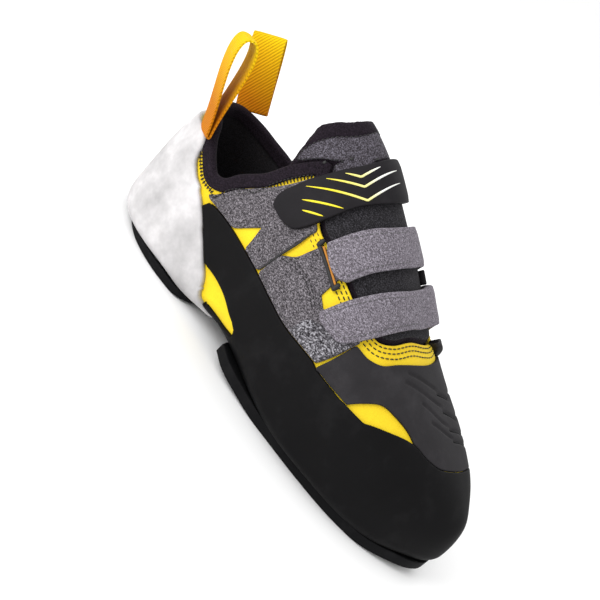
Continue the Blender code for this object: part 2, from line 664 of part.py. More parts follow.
def make_binding():
    piece = shell(BINDING_FACE, OVER_UPPER)
    cut(piece, line_block(COLLAR_OUTER, COLLAR_INNER, 0, True))
    keep(piece, line_block(BINDING_OUTER, BINDING_INNER, 0, True))
    cut(piece, plan_prism(THROAT_PLAN, low=INSTEP_HEIGHT * THROAT_FOOT))
    finish(piece, "collar_binding", DARK_CLOTH)


def make_overlay(name, shares, from_y, to_y):
    piece = shell(OVERLAY_FACE, OVER_UPPER)
    keep(piece, side_prism(shares, 0, from_y, to_y))
    cut(piece, line_block(BINDING_OUTER, BINDING_INNER, -GAP, True))
    cut(piece, line_block(RAND_TOP[:-3], RAND_TOP[:-3], GAP, False))
    cut(piece, side_prism(CUP_SIDE, GAP))
    cut(piece, plan_prism(THROAT_PLAN, OVERLAY_THICKNESS, low=INSTEP_HEIGHT * THROAT_FOOT))
    cut(piece, plan_prism(CAP_PLAN, low=INSTEP_HEIGHT * THROAT_FOOT))
    finish(piece, name, GREY_CLOTH)


def make_strap(name, outer_shares, inner_shares, colour):
    piece = shell(STRAP_FACE, STRAP_SEAT)
    keep(piece, two_sided(outer_shares, inner_shares))
    finish(piece, name, colour)


def make_keeper(name, shares):
    piece = shell(KEEPER_FACE, STRAP_SEAT)
    keep(piece, side_prism(shares, 0, BALL_WIDTH * 0.2, REACH))
    finish(piece, name, RUBBER)


def foot_block():
    """Room taken by the shoe up to the collar, with a gap round it."""
    block = form(BINDING_FACE + GAP)
    return cut(block, line_block(COLLAR_OUTER, COLLAR_INNER, GAP, True))


def make_loops():
    outer = ribbon_loop("pull_loop_outer", OUTER_LOOP_FOOT, OUTER_LOOP_UP, OUTER_LOOP_ACROSS,
                        OUTER_LOOP_RISE, OUTER_LOOP_SPREAD)
    cut(outer, foot_block())
    finish(outer, "pull_loop_outer", YELLOW)
    inner = ribbon_loop("pull_loop_inner", INNER_LOOP_FOOT, INNER_LOOP_UP, INNER_LOOP_ACROSS,
                        INNER_LOOP_RISE, INNER_LOOP_SPREAD)
    cut(inner, foot_block())
    finish(inner, "pull_loop_inner", YELLOW)


def seat_shoe():
    """Hang all pieces on one empty and bring the middle of their box to the origin."""
    corners = np.array([tuple(v.co) for piece in PIECES for v in piece.data.vertices])
    low = corners.min(axis=0)
    high = corners.max(axis=0)
    holder = bpy.data.objects.new("shoe", None)
    SHOE.objects.link(holder)
    holder.location = (-(low[0] + high[0]) / 2, -(low[1] + high[1]) / 2, -low[2])
    for piece in PIECES:
        piece.parent = holder


for old in list(bpy.data.objects):
    bpy.data.objects.remove(old)
SHOE = bpy.data.collections.new("climbing_shoe")
bpy.context.scene.collection.children.link(SHOE)
PIECES = []

make_upper()
make_insole()
make_tongue()
make_rand()
make_toe_patch()
make_heel_cup()
make_soles()
make_binding()
make_overlay("rear_quarter", REAR_QUARTER_SIDE, -REACH, 0)
make_overlay("front_quarter", FRONT_QUARTER_SIDE, -REACH, 0)
make_overlay("inner_quarter", INNER_QUARTER_SIDE, 0, REACH)
make_strap("top_strap", TOP_STRAP_OUTER, TOP_STRAP_INNER, RUBBER)
make_strap("middle_strap", MIDDLE_STRAP_OUTER, MIDDLE_STRAP_INNER, GREY_CLOTH)
make_strap("front_strap", FRONT_STRAP_OUTER, FRONT_STRAP_INNER, GREY_CLOTH)
make_keeper("middle_keeper", MIDDLE_KEEPER_SIDE)
make_keeper("front_keeper", FRONT_KEEPER_SIDE)
make_loops()
seat_shoe()
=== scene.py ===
"""Looks of the right climbing shoe: fine surfaces over the last that its solids are cut from.

Lengths are in metres. In the outer frame x = 0 is the back of the heel cup, y grows to the
inner side of the foot and z = 0 is the ground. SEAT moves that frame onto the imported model.
"""
from math import cos, pi, radians, sin

import bpy
import numpy as np
from mathutils import Matrix, Vector
from mathutils.bvhtree import BVHTree


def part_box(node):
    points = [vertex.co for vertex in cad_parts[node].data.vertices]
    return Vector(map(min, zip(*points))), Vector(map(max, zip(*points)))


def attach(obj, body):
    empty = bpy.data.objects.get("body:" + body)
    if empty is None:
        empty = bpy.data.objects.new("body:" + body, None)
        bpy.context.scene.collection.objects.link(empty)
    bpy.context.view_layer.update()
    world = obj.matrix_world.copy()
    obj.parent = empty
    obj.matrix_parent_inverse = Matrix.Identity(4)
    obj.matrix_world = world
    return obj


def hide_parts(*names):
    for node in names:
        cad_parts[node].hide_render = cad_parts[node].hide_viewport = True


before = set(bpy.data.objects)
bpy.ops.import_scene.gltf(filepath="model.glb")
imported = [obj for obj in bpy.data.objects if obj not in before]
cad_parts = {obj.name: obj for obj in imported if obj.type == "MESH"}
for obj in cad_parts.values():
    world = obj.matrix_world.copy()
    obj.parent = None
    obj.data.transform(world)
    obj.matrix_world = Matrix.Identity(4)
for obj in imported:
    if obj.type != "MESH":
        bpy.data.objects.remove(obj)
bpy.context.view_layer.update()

# Driving sizes of the last, as in the part
LAST_LENGTH = 0.240
BALL_WIDTH = 0.080
INSTEP_HEIGHT = 0.125
HEEL_SETBACK = 0.005
EDGE_RADIUS = 0.005
GAP = 0.0003
UPPER_WALL = 0.002
SOLE_THICKNESS = 0.0045
SOLE_LIP = 0.0015
SOLE_EDGE_ROUND = 0.001
RAND_FACE = 0.0018
CUP_FACE = 0.0030
PATCH_FACE = 0.0016
BINDING_FACE = 0.0015
OVERLAY_FACE = 0.0013
STRAP_SEAT = 0.0018
STRAP_FACE = 0.0039
KEEPER_FACE = 0.0034
TONGUE_SEAT = UPPER_WALL + GAP
TONGUE_THICKNESS = 0.003
STACK = SOLE_THICKNESS + GAP + RAND_FACE
CAD_RINGS = 29
CAD_COLUMNS = 24

# Profile of the ground side
ARCH_RISE = 0.005
TOE_SPRING = 0.005
HEEL_FLAT_END = 0.245
ARCH_CREST = 0.385
BALL_FLAT_START = 0.60
BALL_FLAT_END = 0.87
SPRING_END = 1.03
CORNER_LIMIT = 0.85

# Spacing of the fine surfaces
ROWS = 400
COLUMNS = 304
COARSE = 2
SIDE_END = 0.2
BEND_END = 0.8
EDGE = 1e-4
STATION_LOW = 0.0005
STATION_HIGH = 0.9995
MM = 0.001
RIM_ROWS = 4
CORD_SIDES = 8
STITCH_SIDES = 6
SIDE_BLEND = 0.003
COLLAR_BLEND = 0.14
RIPPLE_LENGTH = 0.035
RIPPLE_HEIGHT = 0.00016
RIPPLE_SEED = 4

# Rounded rims of the layers
THIN_RIM = 0.0004
RIM = 0.0006
RAND_RIM = 0.0007
STRAP_RIM = 0.0008
TONGUE_RIM = 0.0011
CUP_RIM = 0.0012

# Stitches: distance from one to the next, length and radius
QUARTER_STITCH = (0.0024, 0.0016, 0.00024)
DOUBLE_STITCH = (0.0026, 0.0019, 0.0003)
STRAP_STITCH = (0.0024, 0.0017, 0.00024)
TONGUE_STITCH = (0.0022, 0.0015, 0.00028)
COLLAR_STITCH = (0.0019, 0.0014, 0.00030)
THROAT_STITCH = (0.0027, 0.0021, 0.0003)
THROAT_INSETS = (0.0016, 0.0038, 0.0062)
OVERLOCK_PITCH = 0.0017
OVERLOCK_RADIUS = 0.00036

# Smaller sizes of the pieces
TREAD_MARGIN = 0.016
TREAD_START = 0.12
TREAD_END = 0.87
GROOVE_WIDTH = 0.0008
GROOVE_DEPTH = 0.0009
WRAP_FOOT = 0.004
WRAP_RISE = 0.024
WRAP_TOP = 0.027
WRAP_REACH = 0.030
WRAP_HALF_WIDTH = 0.0135
WRAP_NARROWING = 0.0085
WRAP_FACE = CUP_FACE + 0.0011
WRAP_RIM = 0.0005
HOOK_FACE = OVERLAY_FACE + 0.0009
QUARTER_STITCH_INSET = 0.0017
STRAP_STITCH_INSET = 0.0026
STRAP_PUFF = 0.0004
FRONT_STRAP_PUFF = 0.0022
FRONT_KEEPER_FACE = KEEPER_FACE + 0.0016
KEEPER_START = BALL_WIDTH * 0.2
TONGUE_LAP = 0.006
TONGUE_FACE_FOOT = -0.0010
TONGUE_BORDER = 0.0078
TONGUE_SPLIT = 0.345
BINDING_END = 0.335
BINDING_STEP = 0.00065
BINDING_STEPS = 8
BINDING_INSIDE = UPPER_WALL + 0.0009
INSOLE_INSET = 0.0108
INSOLE_THICKNESS = 0.002
INSOLE_START = 0.085
INSOLE_END = 0.90

# Sections of the last, heel to toe. along: share of LAST_LENGTH. outer, inner, lean: share of
# BALL_WIDTH. lift, widest, top: share of INSTEP_HEIGHT. corner: share of EDGE_RADIUS.
SECTION_COLUMNS = ("along", "outer", "inner", "lift", "widest", "top",
                   "lean", "corner", "power")
SECTIONS = (
    (0.000,  0.000, 0.000, 0.280, 0.336, 0.336, 0.000, 0.8, 2.0),
    (0.010, -0.138, 0.138, 0.064, 0.336, 0.512, 0.000, 0.8, 2.0),
    (0.033, -0.225, 0.225, 0.012, 0.320, 0.696, 0.000, 0.8, 2.0),
    (0.075, -0.298, 0.298, 0.000, 0.304, 0.848, 0.000, 0.8, 2.0),
    (0.146, -0.338, 0.325, 0.000, 0.288, 0.944, 0.000, 0.8, 2.1),
    (0.229, -0.348, 0.319, 0.000, 0.288, 1.000, 0.013, 0.9, 2.1),
    (0.333, -0.385, 0.313, 0.000, 0.296, 0.964, 0.038, 1.6, 2.1),
    (0.438, -0.440, 0.338, 0.000, 0.272, 0.866, 0.050, 2.0, 2.1),
    (0.542, -0.488, 0.413, 0.000, 0.224, 0.742, 0.075, 1.5, 2.3),
    (0.646, -0.519, 0.481, 0.000, 0.168, 0.604, 0.100, 1.0, 2.5),
    (0.742, -0.503, 0.500, 0.000, 0.136, 0.504, 0.125, 1.0, 2.6),
    (0.833, -0.438, 0.458, 0.000, 0.132, 0.436, 0.130, 1.0, 2.6),
    (0.904, -0.330, 0.346, 0.000, 0.132, 0.376, 0.120, 1.0, 2.6),
    (0.958, -0.205, 0.190, 0.004, 0.136, 0.316, 0.070, 1.0, 2.5),
    (0.990, -0.095, 0.080, 0.016, 0.144, 0.256, 0.030, 1.0, 2.3),
    (1.000, -0.005, -0.005, 0.052, 0.152, 0.152, -0.005, 1.0, 2.0),
)

# Outlines of the two soles. along: share of LAST_LENGTH; outer, inner: of BALL_WIDTH.
OUTSOLE_OUTLINE = (
    (0.425, -0.425, 0.250),
    (0.455, -0.470, 0.340),
    (0.540, -0.485, 0.410),
    (0.628, -0.478, 0.475),
    (0.733, -0.460, 0.505),
    (0.825, -0.418, 0.465),
    (0.900, -0.338, 0.355),
    (0.955, -0.230, 0.215),
    (0.980, -0.165, 0.128),
    (0.993, -0.105, 0.062),
    (1.000, -0.045, 0.008),
)
HEEL_OUTLINE = (
    (0.028, -0.010, 0.010),
    (0.038, -0.100, 0.100),
    (0.062, -0.205, 0.188),
    (0.105, -0.300, 0.275),
    (0.160, -0.352, 0.312),
    (0.225, -0.365, 0.318),
    (0.275, -0.340, 0.300),
    (0.305, -0.250, 0.240),
)

# Lines seen from the side: share of LAST_LENGTH and of INSTEP_HEIGHT.
COLLAR_OUTER = ((-0.1, 0.590), (0.033, 0.592), (0.066, 0.585), (0.096, 0.530), (0.128, 0.482),
                (0.156, 0.456), (0.174, 0.468), (0.197, 0.536), (0.233, 0.620), (0.255, 0.710),
                (0.281, 0.784), (0.318, 0.856), (0.365, 1.2))
COLLAR_INNER = ((-0.1, 0.590), (0.029, 0.598), (0.054, 0.590), (0.079, 0.584), (0.112, 0.577),
                (0.146, 0.575), (0.179, 0.574), (0.208, 0.590), (0.242, 0.640), (0.272, 0.715),
                (0.301, 0.790), (0.330, 0.856), (0.370, 1.2))
BINDING_OUTER = ((-0.1, 0.520), (0.033, 0.524), (0.078, 0.524), (0.109, 0.432), (0.138, 0.396),
                 (0.165, 0.393), (0.215, 0.512), (0.274, 0.660), (0.297, 0.744), (0.312, 0.808),
                 (0.354, 1.1))
BINDING_INNER = ((-0.1, 0.520), (0.029, 0.520), (0.079, 0.508), (0.112, 0.500), (0.146, 0.498),
                 (0.179, 0.498), (0.217, 0.522), (0.254, 0.580), (0.290, 0.660), (0.318, 0.750),
                 (0.338, 0.820), (0.370, 1.1))
RAND_TOP = ((-0.1, 0.384), (0.180, 0.384), (0.255, 0.390), (0.315, 0.384), (0.376, 0.374),
            (0.434, 0.360), (0.490, 0.350), (0.540, 0.356), (0.603, 0.362), (0.688, 0.358),
            (0.708, 0.380), (0.730, 0.8), (1.1, 0.8))
CUP_SIDE = ((-0.10, -0.10), (0.375, -0.10), (0.375, 0.085), (0.318, 0.110), (0.297, 0.170),
            (0.265, 0.218), (0.219, 0.287), (0.178, 0.350), (0.154, 0.378), (0.140, 0.60),
            (-0.10, 0.60))
REAR_WINDOW_SIDE = ((0.262, 0.205), (0.300, 0.214), (0.350, 0.206), (0.390, 0.182),
                    (0.426, 0.156), (0.430, 0.138), (0.400, 0.122), (0.350, 0.116),
                    (0.305, 0.120), (0.275, 0.160))
REAR_QUARTER_SIDE = ((0.135, 0.330), (0.180, 0.350), (0.225, 0.388), (0.262, 0.394),
                     (0.285, 0.440), (0.307, 0.490), (0.311, 0.450), (0.316, 0.340),
                     (0.368, 0.340), (0.370, 0.400), (0.376, 0.488), (0.383, 0.592),
                     (0.396, 0.720), (0.385, 0.860), (0.270, 0.900), (0.135, 0.900))
FRONT_QUARTER_SIDE = ((0.371, 0.340), (0.373, 0.400), (0.379, 0.490), (0.402, 0.536),
                      (0.412, 0.592), (0.424, 0.652), (0.445, 0.690), (0.487, 0.656),
                      (0.492, 0.524), (0.515, 0.500), (0.537, 0.520), (0.570, 0.548),
                      (0.608, 0.516), (0.601, 0.440), (0.583, 0.340))
INNER_QUARTER_SIDE = ((0.135, 0.340), (0.583, 0.340), (0.601, 0.440), (0.608, 0.516),
                      (0.530, 0.610), (0.410, 0.720), (0.375, 0.860), (0.270, 0.900),
                      (0.135, 0.900))
TONGUE_SIDE = ((0.215, 0.480), (0.209, 0.620), (0.208, 0.760), (0.217, 0.860), (0.236, 0.930),
               (0.256, 0.975), (0.272, 1.05), (0.700, 1.05), (0.700, 0.300), (0.300, 0.300))
TOP_STRAP_OUTER = ((0.308, 0.576), (0.340, 0.576), (0.360, 0.592), (0.368, 0.616),
                   (0.385, 0.704), (0.402, 0.808), (0.430, 0.888), (0.446, 1.08),
                   (0.358, 1.08), (0.345, 0.920), (0.319, 0.816), (0.294, 0.700),
                   (0.285, 0.610), (0.291, 0.583))
TOP_STRAP_INNER = ((0.310, 0.500), (0.362, 0.500), (0.372, 0.616), (0.385, 0.704),
                   (0.402, 0.808), (0.430, 0.888), (0.446, 1.08), (0.358, 1.08),
                   (0.345, 0.920), (0.319, 0.816), (0.300, 0.700), (0.296, 0.560))
MIDDLE_STRAP_OUTER = ((0.421, 0.650), (0.428, 0.640), (0.494, 0.604), (0.503, 0.612),
                      (0.507, 0.640), (0.516, 0.692), (0.527, 0.728), (0.540, 0.768),
                      (0.552, 0.900), (0.482, 0.900), (0.469, 0.836), (0.448, 0.784),
                      (0.436, 0.739), (0.425, 0.676))
MIDDLE_STRAP_INNER = ((0.440, 0.470), (0.520, 0.470), (0.524, 0.624), (0.527, 0.692),
                      (0.532, 0.728), (0.540, 0.768), (0.552, 0.900), (0.482, 0.900),
                      (0.469, 0.836), (0.454, 0.784), (0.446, 0.739), (0.440, 0.656))
FRONT_STRAP_OUTER = ((0.517, 0.488), (0.529, 0.471), (0.555, 0.466), (0.587, 0.472),
                     (0.595, 0.488), (0.609, 0.534), (0.631, 0.614), (0.646, 0.640),
                     (0.655, 0.760), (0.592, 0.760), (0.578, 0.712), (0.563, 0.686),
                     (0.536, 0.598))
FRONT_STRAP_INNER = ((0.545, 0.400), (0.622, 0.400), (0.628, 0.534), (0.636, 0.614),
                     (0.646, 0.640), (0.655, 0.760), (0.592, 0.760), (0.578, 0.712),
                     (0.563, 0.686), (0.548, 0.598))
MIDDLE_KEEPER_SIDE = ((0.526, 0.500), (0.541, 0.500), (0.544, 0.598), (0.559, 0.690),
                      (0.573, 0.718), (0.573, 0.738), (0.548, 0.760), (0.538, 0.728),
                      (0.532, 0.692), (0.529, 0.624))
FRONT_KEEPER_SIDE = ((0.640, 0.360), (0.672, 0.360), (0.672, 0.560), (0.660, 0.590))

# Outlines seen from above: share of LAST_LENGTH and of BALL_WIDTH.
THROAT_PLAN = ((0.300, -0.225), (0.392, -0.319), (0.425, -0.325), (0.504, -0.331),
               (0.560, -0.325), (0.604, -0.300), (0.626, -0.268), (0.642, -0.200),
               (0.652, -0.050), (0.656, 0.284), (0.640, 0.330), (0.604, 0.356),
               (0.540, 0.362), (0.425, 0.325), (0.333, 0.275), (0.300, 0.240))
TONGUE_REAR_PLAN = ((0.203, 0.020), (0.207, -0.090), (0.222, -0.200), (0.250, -0.300),
                    (0.300, -0.330), (0.392, -0.330), (0.392, 0.290), (0.333, 0.270),
                    (0.245, 0.240), (0.203, 0.215))
CAP_PLAN = ((0.582, -0.90), (0.583, -0.510), (0.599, -0.455), (0.607, -0.368),
            (0.641, -0.335), (0.662, -0.284), (0.674, -0.201), (0.690, 0.299),
            (0.676, 0.385), (0.640, 0.440), (0.600, 0.520), (0.597, 0.90),
            (0.700, 0.90), (0.740, 0.500), (0.815, 0.435), (0.868, 0.380),
            (0.900, 0.290), (0.904, 0.200), (0.896, 0.020), (0.875, -0.112),
            (0.850, -0.175), (0.817, -0.225), (0.765, -0.345), (0.722, -0.433),
            (0.695, -0.481), (0.671, -0.496), (0.671, -0.90))
CRESCENT_PLAN = ((0.660, -0.90), (0.671, -0.490), (0.684, -0.454), (0.702, -0.399),
                 (0.722, -0.334), (0.755, -0.279), (0.792, -0.236), (0.822, -0.223),
                 (0.822, -0.90))
THROAT_FOOT = 0.300
CAP_FOOT = 0.352

# Lines on the surface: distance along the shoe and girth from the ridge, in mm. The outer
# side's girths are negative.
TOE_GROOVES = (
    ((172.7, -24.2), (181.0, -11.6), (190.0, 9.0), (181.0, 30.0), (172.7, 43.0)),
    ((175.4, -27.8), (187.5, -13.1), (200.2, 11.0), (187.5, 35.0), (176.5, 48.0)),
    ((187.2, -21.7), (198.9, -9.6), (207.2, 13.0), (199.0, 35.0), (188.0, 46.0)),
    ((196.5, -19.7), (204.6, -9.1), (212.0, 12.5), (205.0, 32.0), (197.0, 42.0)),
)
CHEVRONS = (
    ((85.4, -25.5), (90.6, -19.6), (90.6, -9.9)),
    ((82.3, -34.1), (95.0, -19.7), (94.2, -2.2)),
    ((79.2, -43.8), (100.7, -20.3), (99.5, -2.2)),
    ((83.1, -48.1), (97.9, -31.9)),
    ((87.0, -50.1), (95.4, -41.8)),
)
HOLES = ((75.0, -31.4), (81.1, -19.6), (87.0, -8.5))
SLOT_EDGE = ((104.0, -47.9), (105.3, -47.8), (110.6, -47.2), (116.9, -47.1), (124.5, -47.1))
SLOT_CORD = ((106.1, -45.9), (111.5, -45.8), (117.7, -45.8), (123.5, -45.9))
FOLD_LINE = ((93.6, -82.0), (94.2, -78.8), (95.4, -68.6), (97.2, -56.8), (97.6, -47.5))
DOUBLE_LINE = ((97.2, -67.4), (105.7, -61.4), (113.5, -58.3), (126.0, -59.0))
HOOK_PATCH = ((123.0, -86.0), (126.0, -74.7), (128.5, -63.3), (134.4, -58.4), (142.0, -52.0),
              (158.0, -46.0), (162.0, -86.0))

# Pull loops, as in the part
LOOP_WIDTH = 0.017
LOOP_THICKNESS = 0.0014
LOOP_PINCH = 2.6
LOOPS = {
    "pull_loop_outer": dict(foot=(0.074, -0.313, 0.532), up=(-0.304, 0.00, 0.953),
                            across=(0.70, -0.70, 0.22), rise=0.050, spread=0.0042, belly=1.6),
    "pull_loop_inner": dict(foot=(0.040, 0.190, 0.610), up=(-0.49, -0.03, 0.87),
                            across=(0.80, 0.38, 0.45), rise=0.0387, spread=0.0045, belly=1.2),
}


def section_table():
    """The section table with its lengths in metres."""
    scale = (1, BALL_WIDTH, BALL_WIDTH, INSTEP_HEIGHT, INSTEP_HEIGHT, INSTEP_HEIGHT,
             BALL_WIDTH, EDGE_RADIUS, 1)
    return np.array(SECTIONS) * np.array(scale)


TABLE = section_table()
KNOTS = np.arccos(1 - 2 * TABLE[:, 0]) / pi


def unit(vectors):
    """Vectors scaled to length one."""
    return vectors / np.maximum(np.linalg.norm(vectors, axis=-1, keepdims=True), 1e-30)


def cubic(u, first, second, leave, arrive):
    """Cubic from first to second with the given end slopes."""
    start = (2 * u**3 - 3 * u**2 + 1) * first + (u**3 - 2 * u**2 + u) * leave
    end = (3 * u**2 - 2 * u**3) * second + (u**3 - u**2) * arrive
    return start + end


def run_of(points):
    """Distance covered at each point of a line."""
    return np.concatenate([[0], np.cumsum(np.linalg.norm(np.diff(points, axis=0), axis=1))])


def column(name, station):
    """Smooth value of one table column at a station from 0, heel, to 1, toe."""
    value = TABLE[:, SECTION_COLUMNS.index(name)]
    step = np.diff(KNOTS)
    rate = np.diff(value) / step
    middle = (rate[:-1] * step[1:] + rate[1:] * step[:-1]) / (step[:-1] + step[1:])
    slope = np.concatenate([rate[:1], middle, rate[-1:]])
    i = np.clip(np.searchsorted(KNOTS, station, side="right") - 1, 0, len(value) - 2)
    u = (station - KNOTS[i]) / step[i]
    return cubic(u, value[i], value[i + 1], step[i] * slope[i], step[i] * slope[i + 1])


def ease(u):
    """Smooth step from 0 to 1."""
    u = np.clip(u, 0, 1)
    return u * u * (3 - 2 * u)


def length_at(share):
    """Distance from the heel plane of a share of the last's length."""
    return HEEL_SETBACK + LAST_LENGTH * share


def length_of(station):
    """Distance from the heel plane of a station."""
    return length_at((1 - np.cos(pi * station)) / 2)


def station_at(x):
    """Station of a distance from the heel plane."""
    share = np.clip((np.asarray(x) - HEEL_SETBACK) / LAST_LENGTH, STATION_LOW, STATION_HIGH)
    return np.arccos(1 - 2 * share) / pi


def ground(x):
    """Height of the tread under a point x: flat heel, arch, flat ball, toe spring."""
    share = (np.asarray(x) - HEEL_SETBACK) / LAST_LENGTH
    rise = ease((share - HEEL_FLAT_END) / (ARCH_CREST - HEEL_FLAT_END))
    fall = ease((share - ARCH_CREST) / (BALL_FLAT_START - ARCH_CREST))
    spring = ease((share - BALL_FLAT_END) / (SPRING_END - BALL_FLAT_END))
    return ARCH_RISE * rise * (1 - fall) + TOE_SPRING * spring


def lower_quarter(share, half, depth, radius):
    """Half width and drop on the way from the widest line to the middle of the bottom."""
    radius = np.minimum(radius, CORNER_LIMIT * np.minimum(half, depth))
    side = np.clip(share / SIDE_END, 0, 1)
    bend = np.clip((share - SIDE_END) / (BEND_END - SIDE_END), 0, 1) * pi / 2
    flat = np.clip((share - BEND_END) / (1 - BEND_END), 0, 1)
    reach = (half - radius + radius * np.cos(bend)) - (half - radius) * flat
    drop = (depth - radius) * side + radius * np.sin(bend)
    return reach, drop


def last_point(station, turn):
    """Point of the last; turn 0 is the ridge, a quarter turn the inner side."""
    station, turn = np.broadcast_arrays(station, turn)
    x = length_of(station)
    outer = column("outer", station)
    inner = column("inner", station)
    widest = column("widest", station)
    top = column("top", station)
    floor = ground(x) + STACK + np.maximum(column("lift", station), 0)
    floor = np.minimum(floor, widest - EDGE)
    middle = (outer + inner) / 2
    half = (inner - outer) / 2
    across = np.sin(turn)
    upright = np.cos(turn)
    power = column("power", station)
    bulge = np.maximum(upright, 0) ** (2 / power)
    high_reach = half * np.abs(across) ** (2 / power)
    low_reach, drop = lower_quarter(np.arcsin(np.clip(-upright, 0, 1)) * 2 / pi, half,
                                    widest - floor, column("corner", station))
    y = middle + np.sign(across) * np.where(upright > 0, high_reach, low_reach)
    z = np.where(upright > 0, widest + (top - widest) * bulge, widest - drop)
    rise = np.clip((z - widest) / np.maximum(top - widest, EDGE), 0, 1)
    y = y + (column("lean", station) - middle) * rise**2
    return np.stack([x, y, z], -1)


def tangents(station, turn):
    """Rates of the last's points by station and by turn."""
    along = last_point(station + EDGE, turn) - last_point(station - EDGE, turn)
    around = last_point(station, turn + EDGE) - last_point(station, turn - EDGE)
    return along / (2 * EDGE), around / (2 * EDGE)


def metric(along, around):
    """Products of the two rates: along twice, mixed, around twice."""
    return (along**2).sum(-1), (along * around).sum(-1), (around**2).sum(-1)


def outward(station, turn):
    """Unit normal of the last."""
    before = np.clip(station - EDGE, EDGE, 1 - EDGE)
    after = np.clip(station + EDGE, EDGE, 1 - EDGE)
    along = last_point(after, turn) - last_point(before, turn)
    around = last_point(station, turn + EDGE) - last_point(station, turn - EDGE)
    return unit(np.cross(along, around))


def form_point(station, turn, depth):
    """Point that lies depth outside the last; inside it the lower edges stay round."""
    station = np.clip(station, STATION_LOW, STATION_HIGH)
    depth = np.where(np.cos(turn) < 0, np.maximum(depth, -UPPER_WALL), depth)[..., None]
    return last_point(station, turn) + outward(station, turn) * depth


def seat():
    """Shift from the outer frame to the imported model, from the box of the upper."""
    stations = np.linspace(0, 1, CAD_RINGS + 1)[1:-1, None]
    turns = np.linspace(0, 2 * pi, CAD_COLUMNS, endpoint=False)[None, :]
    low = last_point(stations, turns).reshape(-1, 3).min(axis=0)
    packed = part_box("upper")[0]
    return np.array([packed.x - HEEL_SETBACK, packed.y - low[1], 0.0])


SEAT = seat()

# The fine grid of the last. Columns go round from the middle of the underside.
GRID_S, GRID_T = np.meshgrid(np.linspace(0, 1, ROWS + 2)[1:-1],
                             np.linspace(-pi, pi, COLUMNS, endpoint=False), indexing="ij")
POINTS = last_point(GRID_S, GRID_T)
X, Y, Z = np.moveaxis(POINTS, -1, 0)
STEP_S, STEP_T = tangents(GRID_S, GRID_T)
SS, ST, TT = metric(STEP_S, STEP_T)
AREA = np.maximum(SS * TT - ST**2, 1e-12)


def girth():
    """Distance round the last from the ridge, along each row."""
    step = np.linalg.norm(STEP_T, axis=-1) * 2 * pi / COLUMNS
    run = np.cumsum(step, axis=1)
    return run - run[:, COLUMNS // 2][:, None]


GIRTH = girth()


def grid_triangles(rows, columns):
    """Triangles of a grid, with a fan at the heel and one at the toe."""
    row = np.arange(rows - 1)[:, None] * columns
    here = np.arange(columns)[None, :]
    after = (here + 1) % columns
    a, b = row + here, row + after
    c, d = a + columns, b + columns
    square = [np.stack([a, c, d], -1).reshape(-1, 3), np.stack([a, d, b], -1).reshape(-1, 3)]
    first, second = here[0], after[0]
    last = (rows - 1) * columns
    heel = np.full(columns, rows * columns)
    toe = heel + 1
    fans = [np.stack([heel, first, second], -1), np.stack([toe, last + second, last + first], -1)]
    return np.concatenate(square + fans)


TRIANGLES = {1: grid_triangles(ROWS, COLUMNS),
             COARSE: grid_triangles(ROWS // COARSE, COLUMNS // COARSE)}


def with_poles(values):
    """Grid values as one list, followed by those of the two poles."""
    return np.concatenate([values.ravel(), [values[0].mean(), values[-1].mean()]])


def slopes(values):
    """Rates of a field by station and by turn."""
    by_s = np.gradient(values, GRID_S[:, 0], axis=0)
    wide = np.concatenate([values[:, -1:], values, values[:, :1]], axis=1)
    return by_s, (wide[:, 2:] - wide[:, :-2]) / (2 * (GRID_T[0, 1] - GRID_T[0, 0]))


def distance(values):
    """Turn a field in metres into a distance along the surface near its zero line."""
    by_s, by_t = slopes(values)
    steep = np.sqrt(np.maximum((TT * by_s**2 - 2 * ST * by_s * by_t + SS * by_t**2) / AREA, 0))
    return values / np.clip(steep, 0.3, 3.0)


def climb(values):
    """Steps in station and turn that raise a field by one metre a metre."""
    by_s, by_t = slopes(values)
    step_s = (TT * by_s - ST * by_t) / AREA
    step_t = (SS * by_t - ST * by_s) / AREA
    size = np.sqrt(np.maximum(SS * step_s**2 + 2 * ST * step_s * step_t + TT * step_t**2, 1e-9))
    return step_s / size, step_t / size


def smooth_outline(points, closed=True, corner=50, spacing=0.0012):
    """Rounded line through points in metres; turns sharper than corner degrees stay sharp."""
    points = np.array(points, float)
    count = len(points)
    after = np.roll(points, -1, axis=0) - points
    size = np.maximum(np.linalg.norm(after, axis=1, keepdims=True), 1e-9)
    out_way = after / size
    in_way = np.roll(out_way, 1, axis=0)
    in_size = np.roll(size, 1, axis=0)
    middle = (in_way * size + out_way * in_size) / (size + in_size)
    sharp = (in_way * out_way).sum(1, keepdims=True) < cos(radians(corner))
    if not closed:
        sharp[0] = sharp[-1] = True
    leave = np.where(sharp, out_way, middle)
    arrive = np.where(sharp, in_way, middle)
    line = []
    for i in range(count if closed else count - 1):
        k = (i + 1) % count
        steps = max(1, int(size[i, 0] / spacing))
        u = (np.arange(steps) / steps)[:, None]
        line.append(cubic(u, points[i], points[k], size[i] * leave[i], size[i] * arrive[k]))
    if not closed:
        line.append(points[-1:])
    return np.concatenate(line)


def gap_to(p, q, u, v):
    """Squared distance of points to the segment from p to q."""
    edge = q - p
    from_u, from_v = u - p[0], v - p[1]
    share = np.clip((from_u * edge[0] + from_v * edge[1]) / max(edge @ edge, 1e-18), 0, 1)
    return (from_u - share * edge[0])**2 + (from_v - share * edge[1])**2


def inside(outline, u, v):
    """Distance to a closed outline, positive inside it."""
    nearest = np.full(u.shape, 1e9)
    odd = np.zeros(u.shape, bool)
    for p, q in zip(outline, np.roll(outline, -1, axis=0)):
        nearest = np.minimum(nearest, gap_to(p, q, u, v))
        if p[1] != q[1]:
            crosses = (p[1] > v) != (q[1] > v)
            odd ^= crosses & (u - p[0] < (q[0] - p[0]) * (v - p[1]) / (q[1] - p[1]))
    return np.where(odd, 1.0, -1.0) * np.sqrt(nearest)


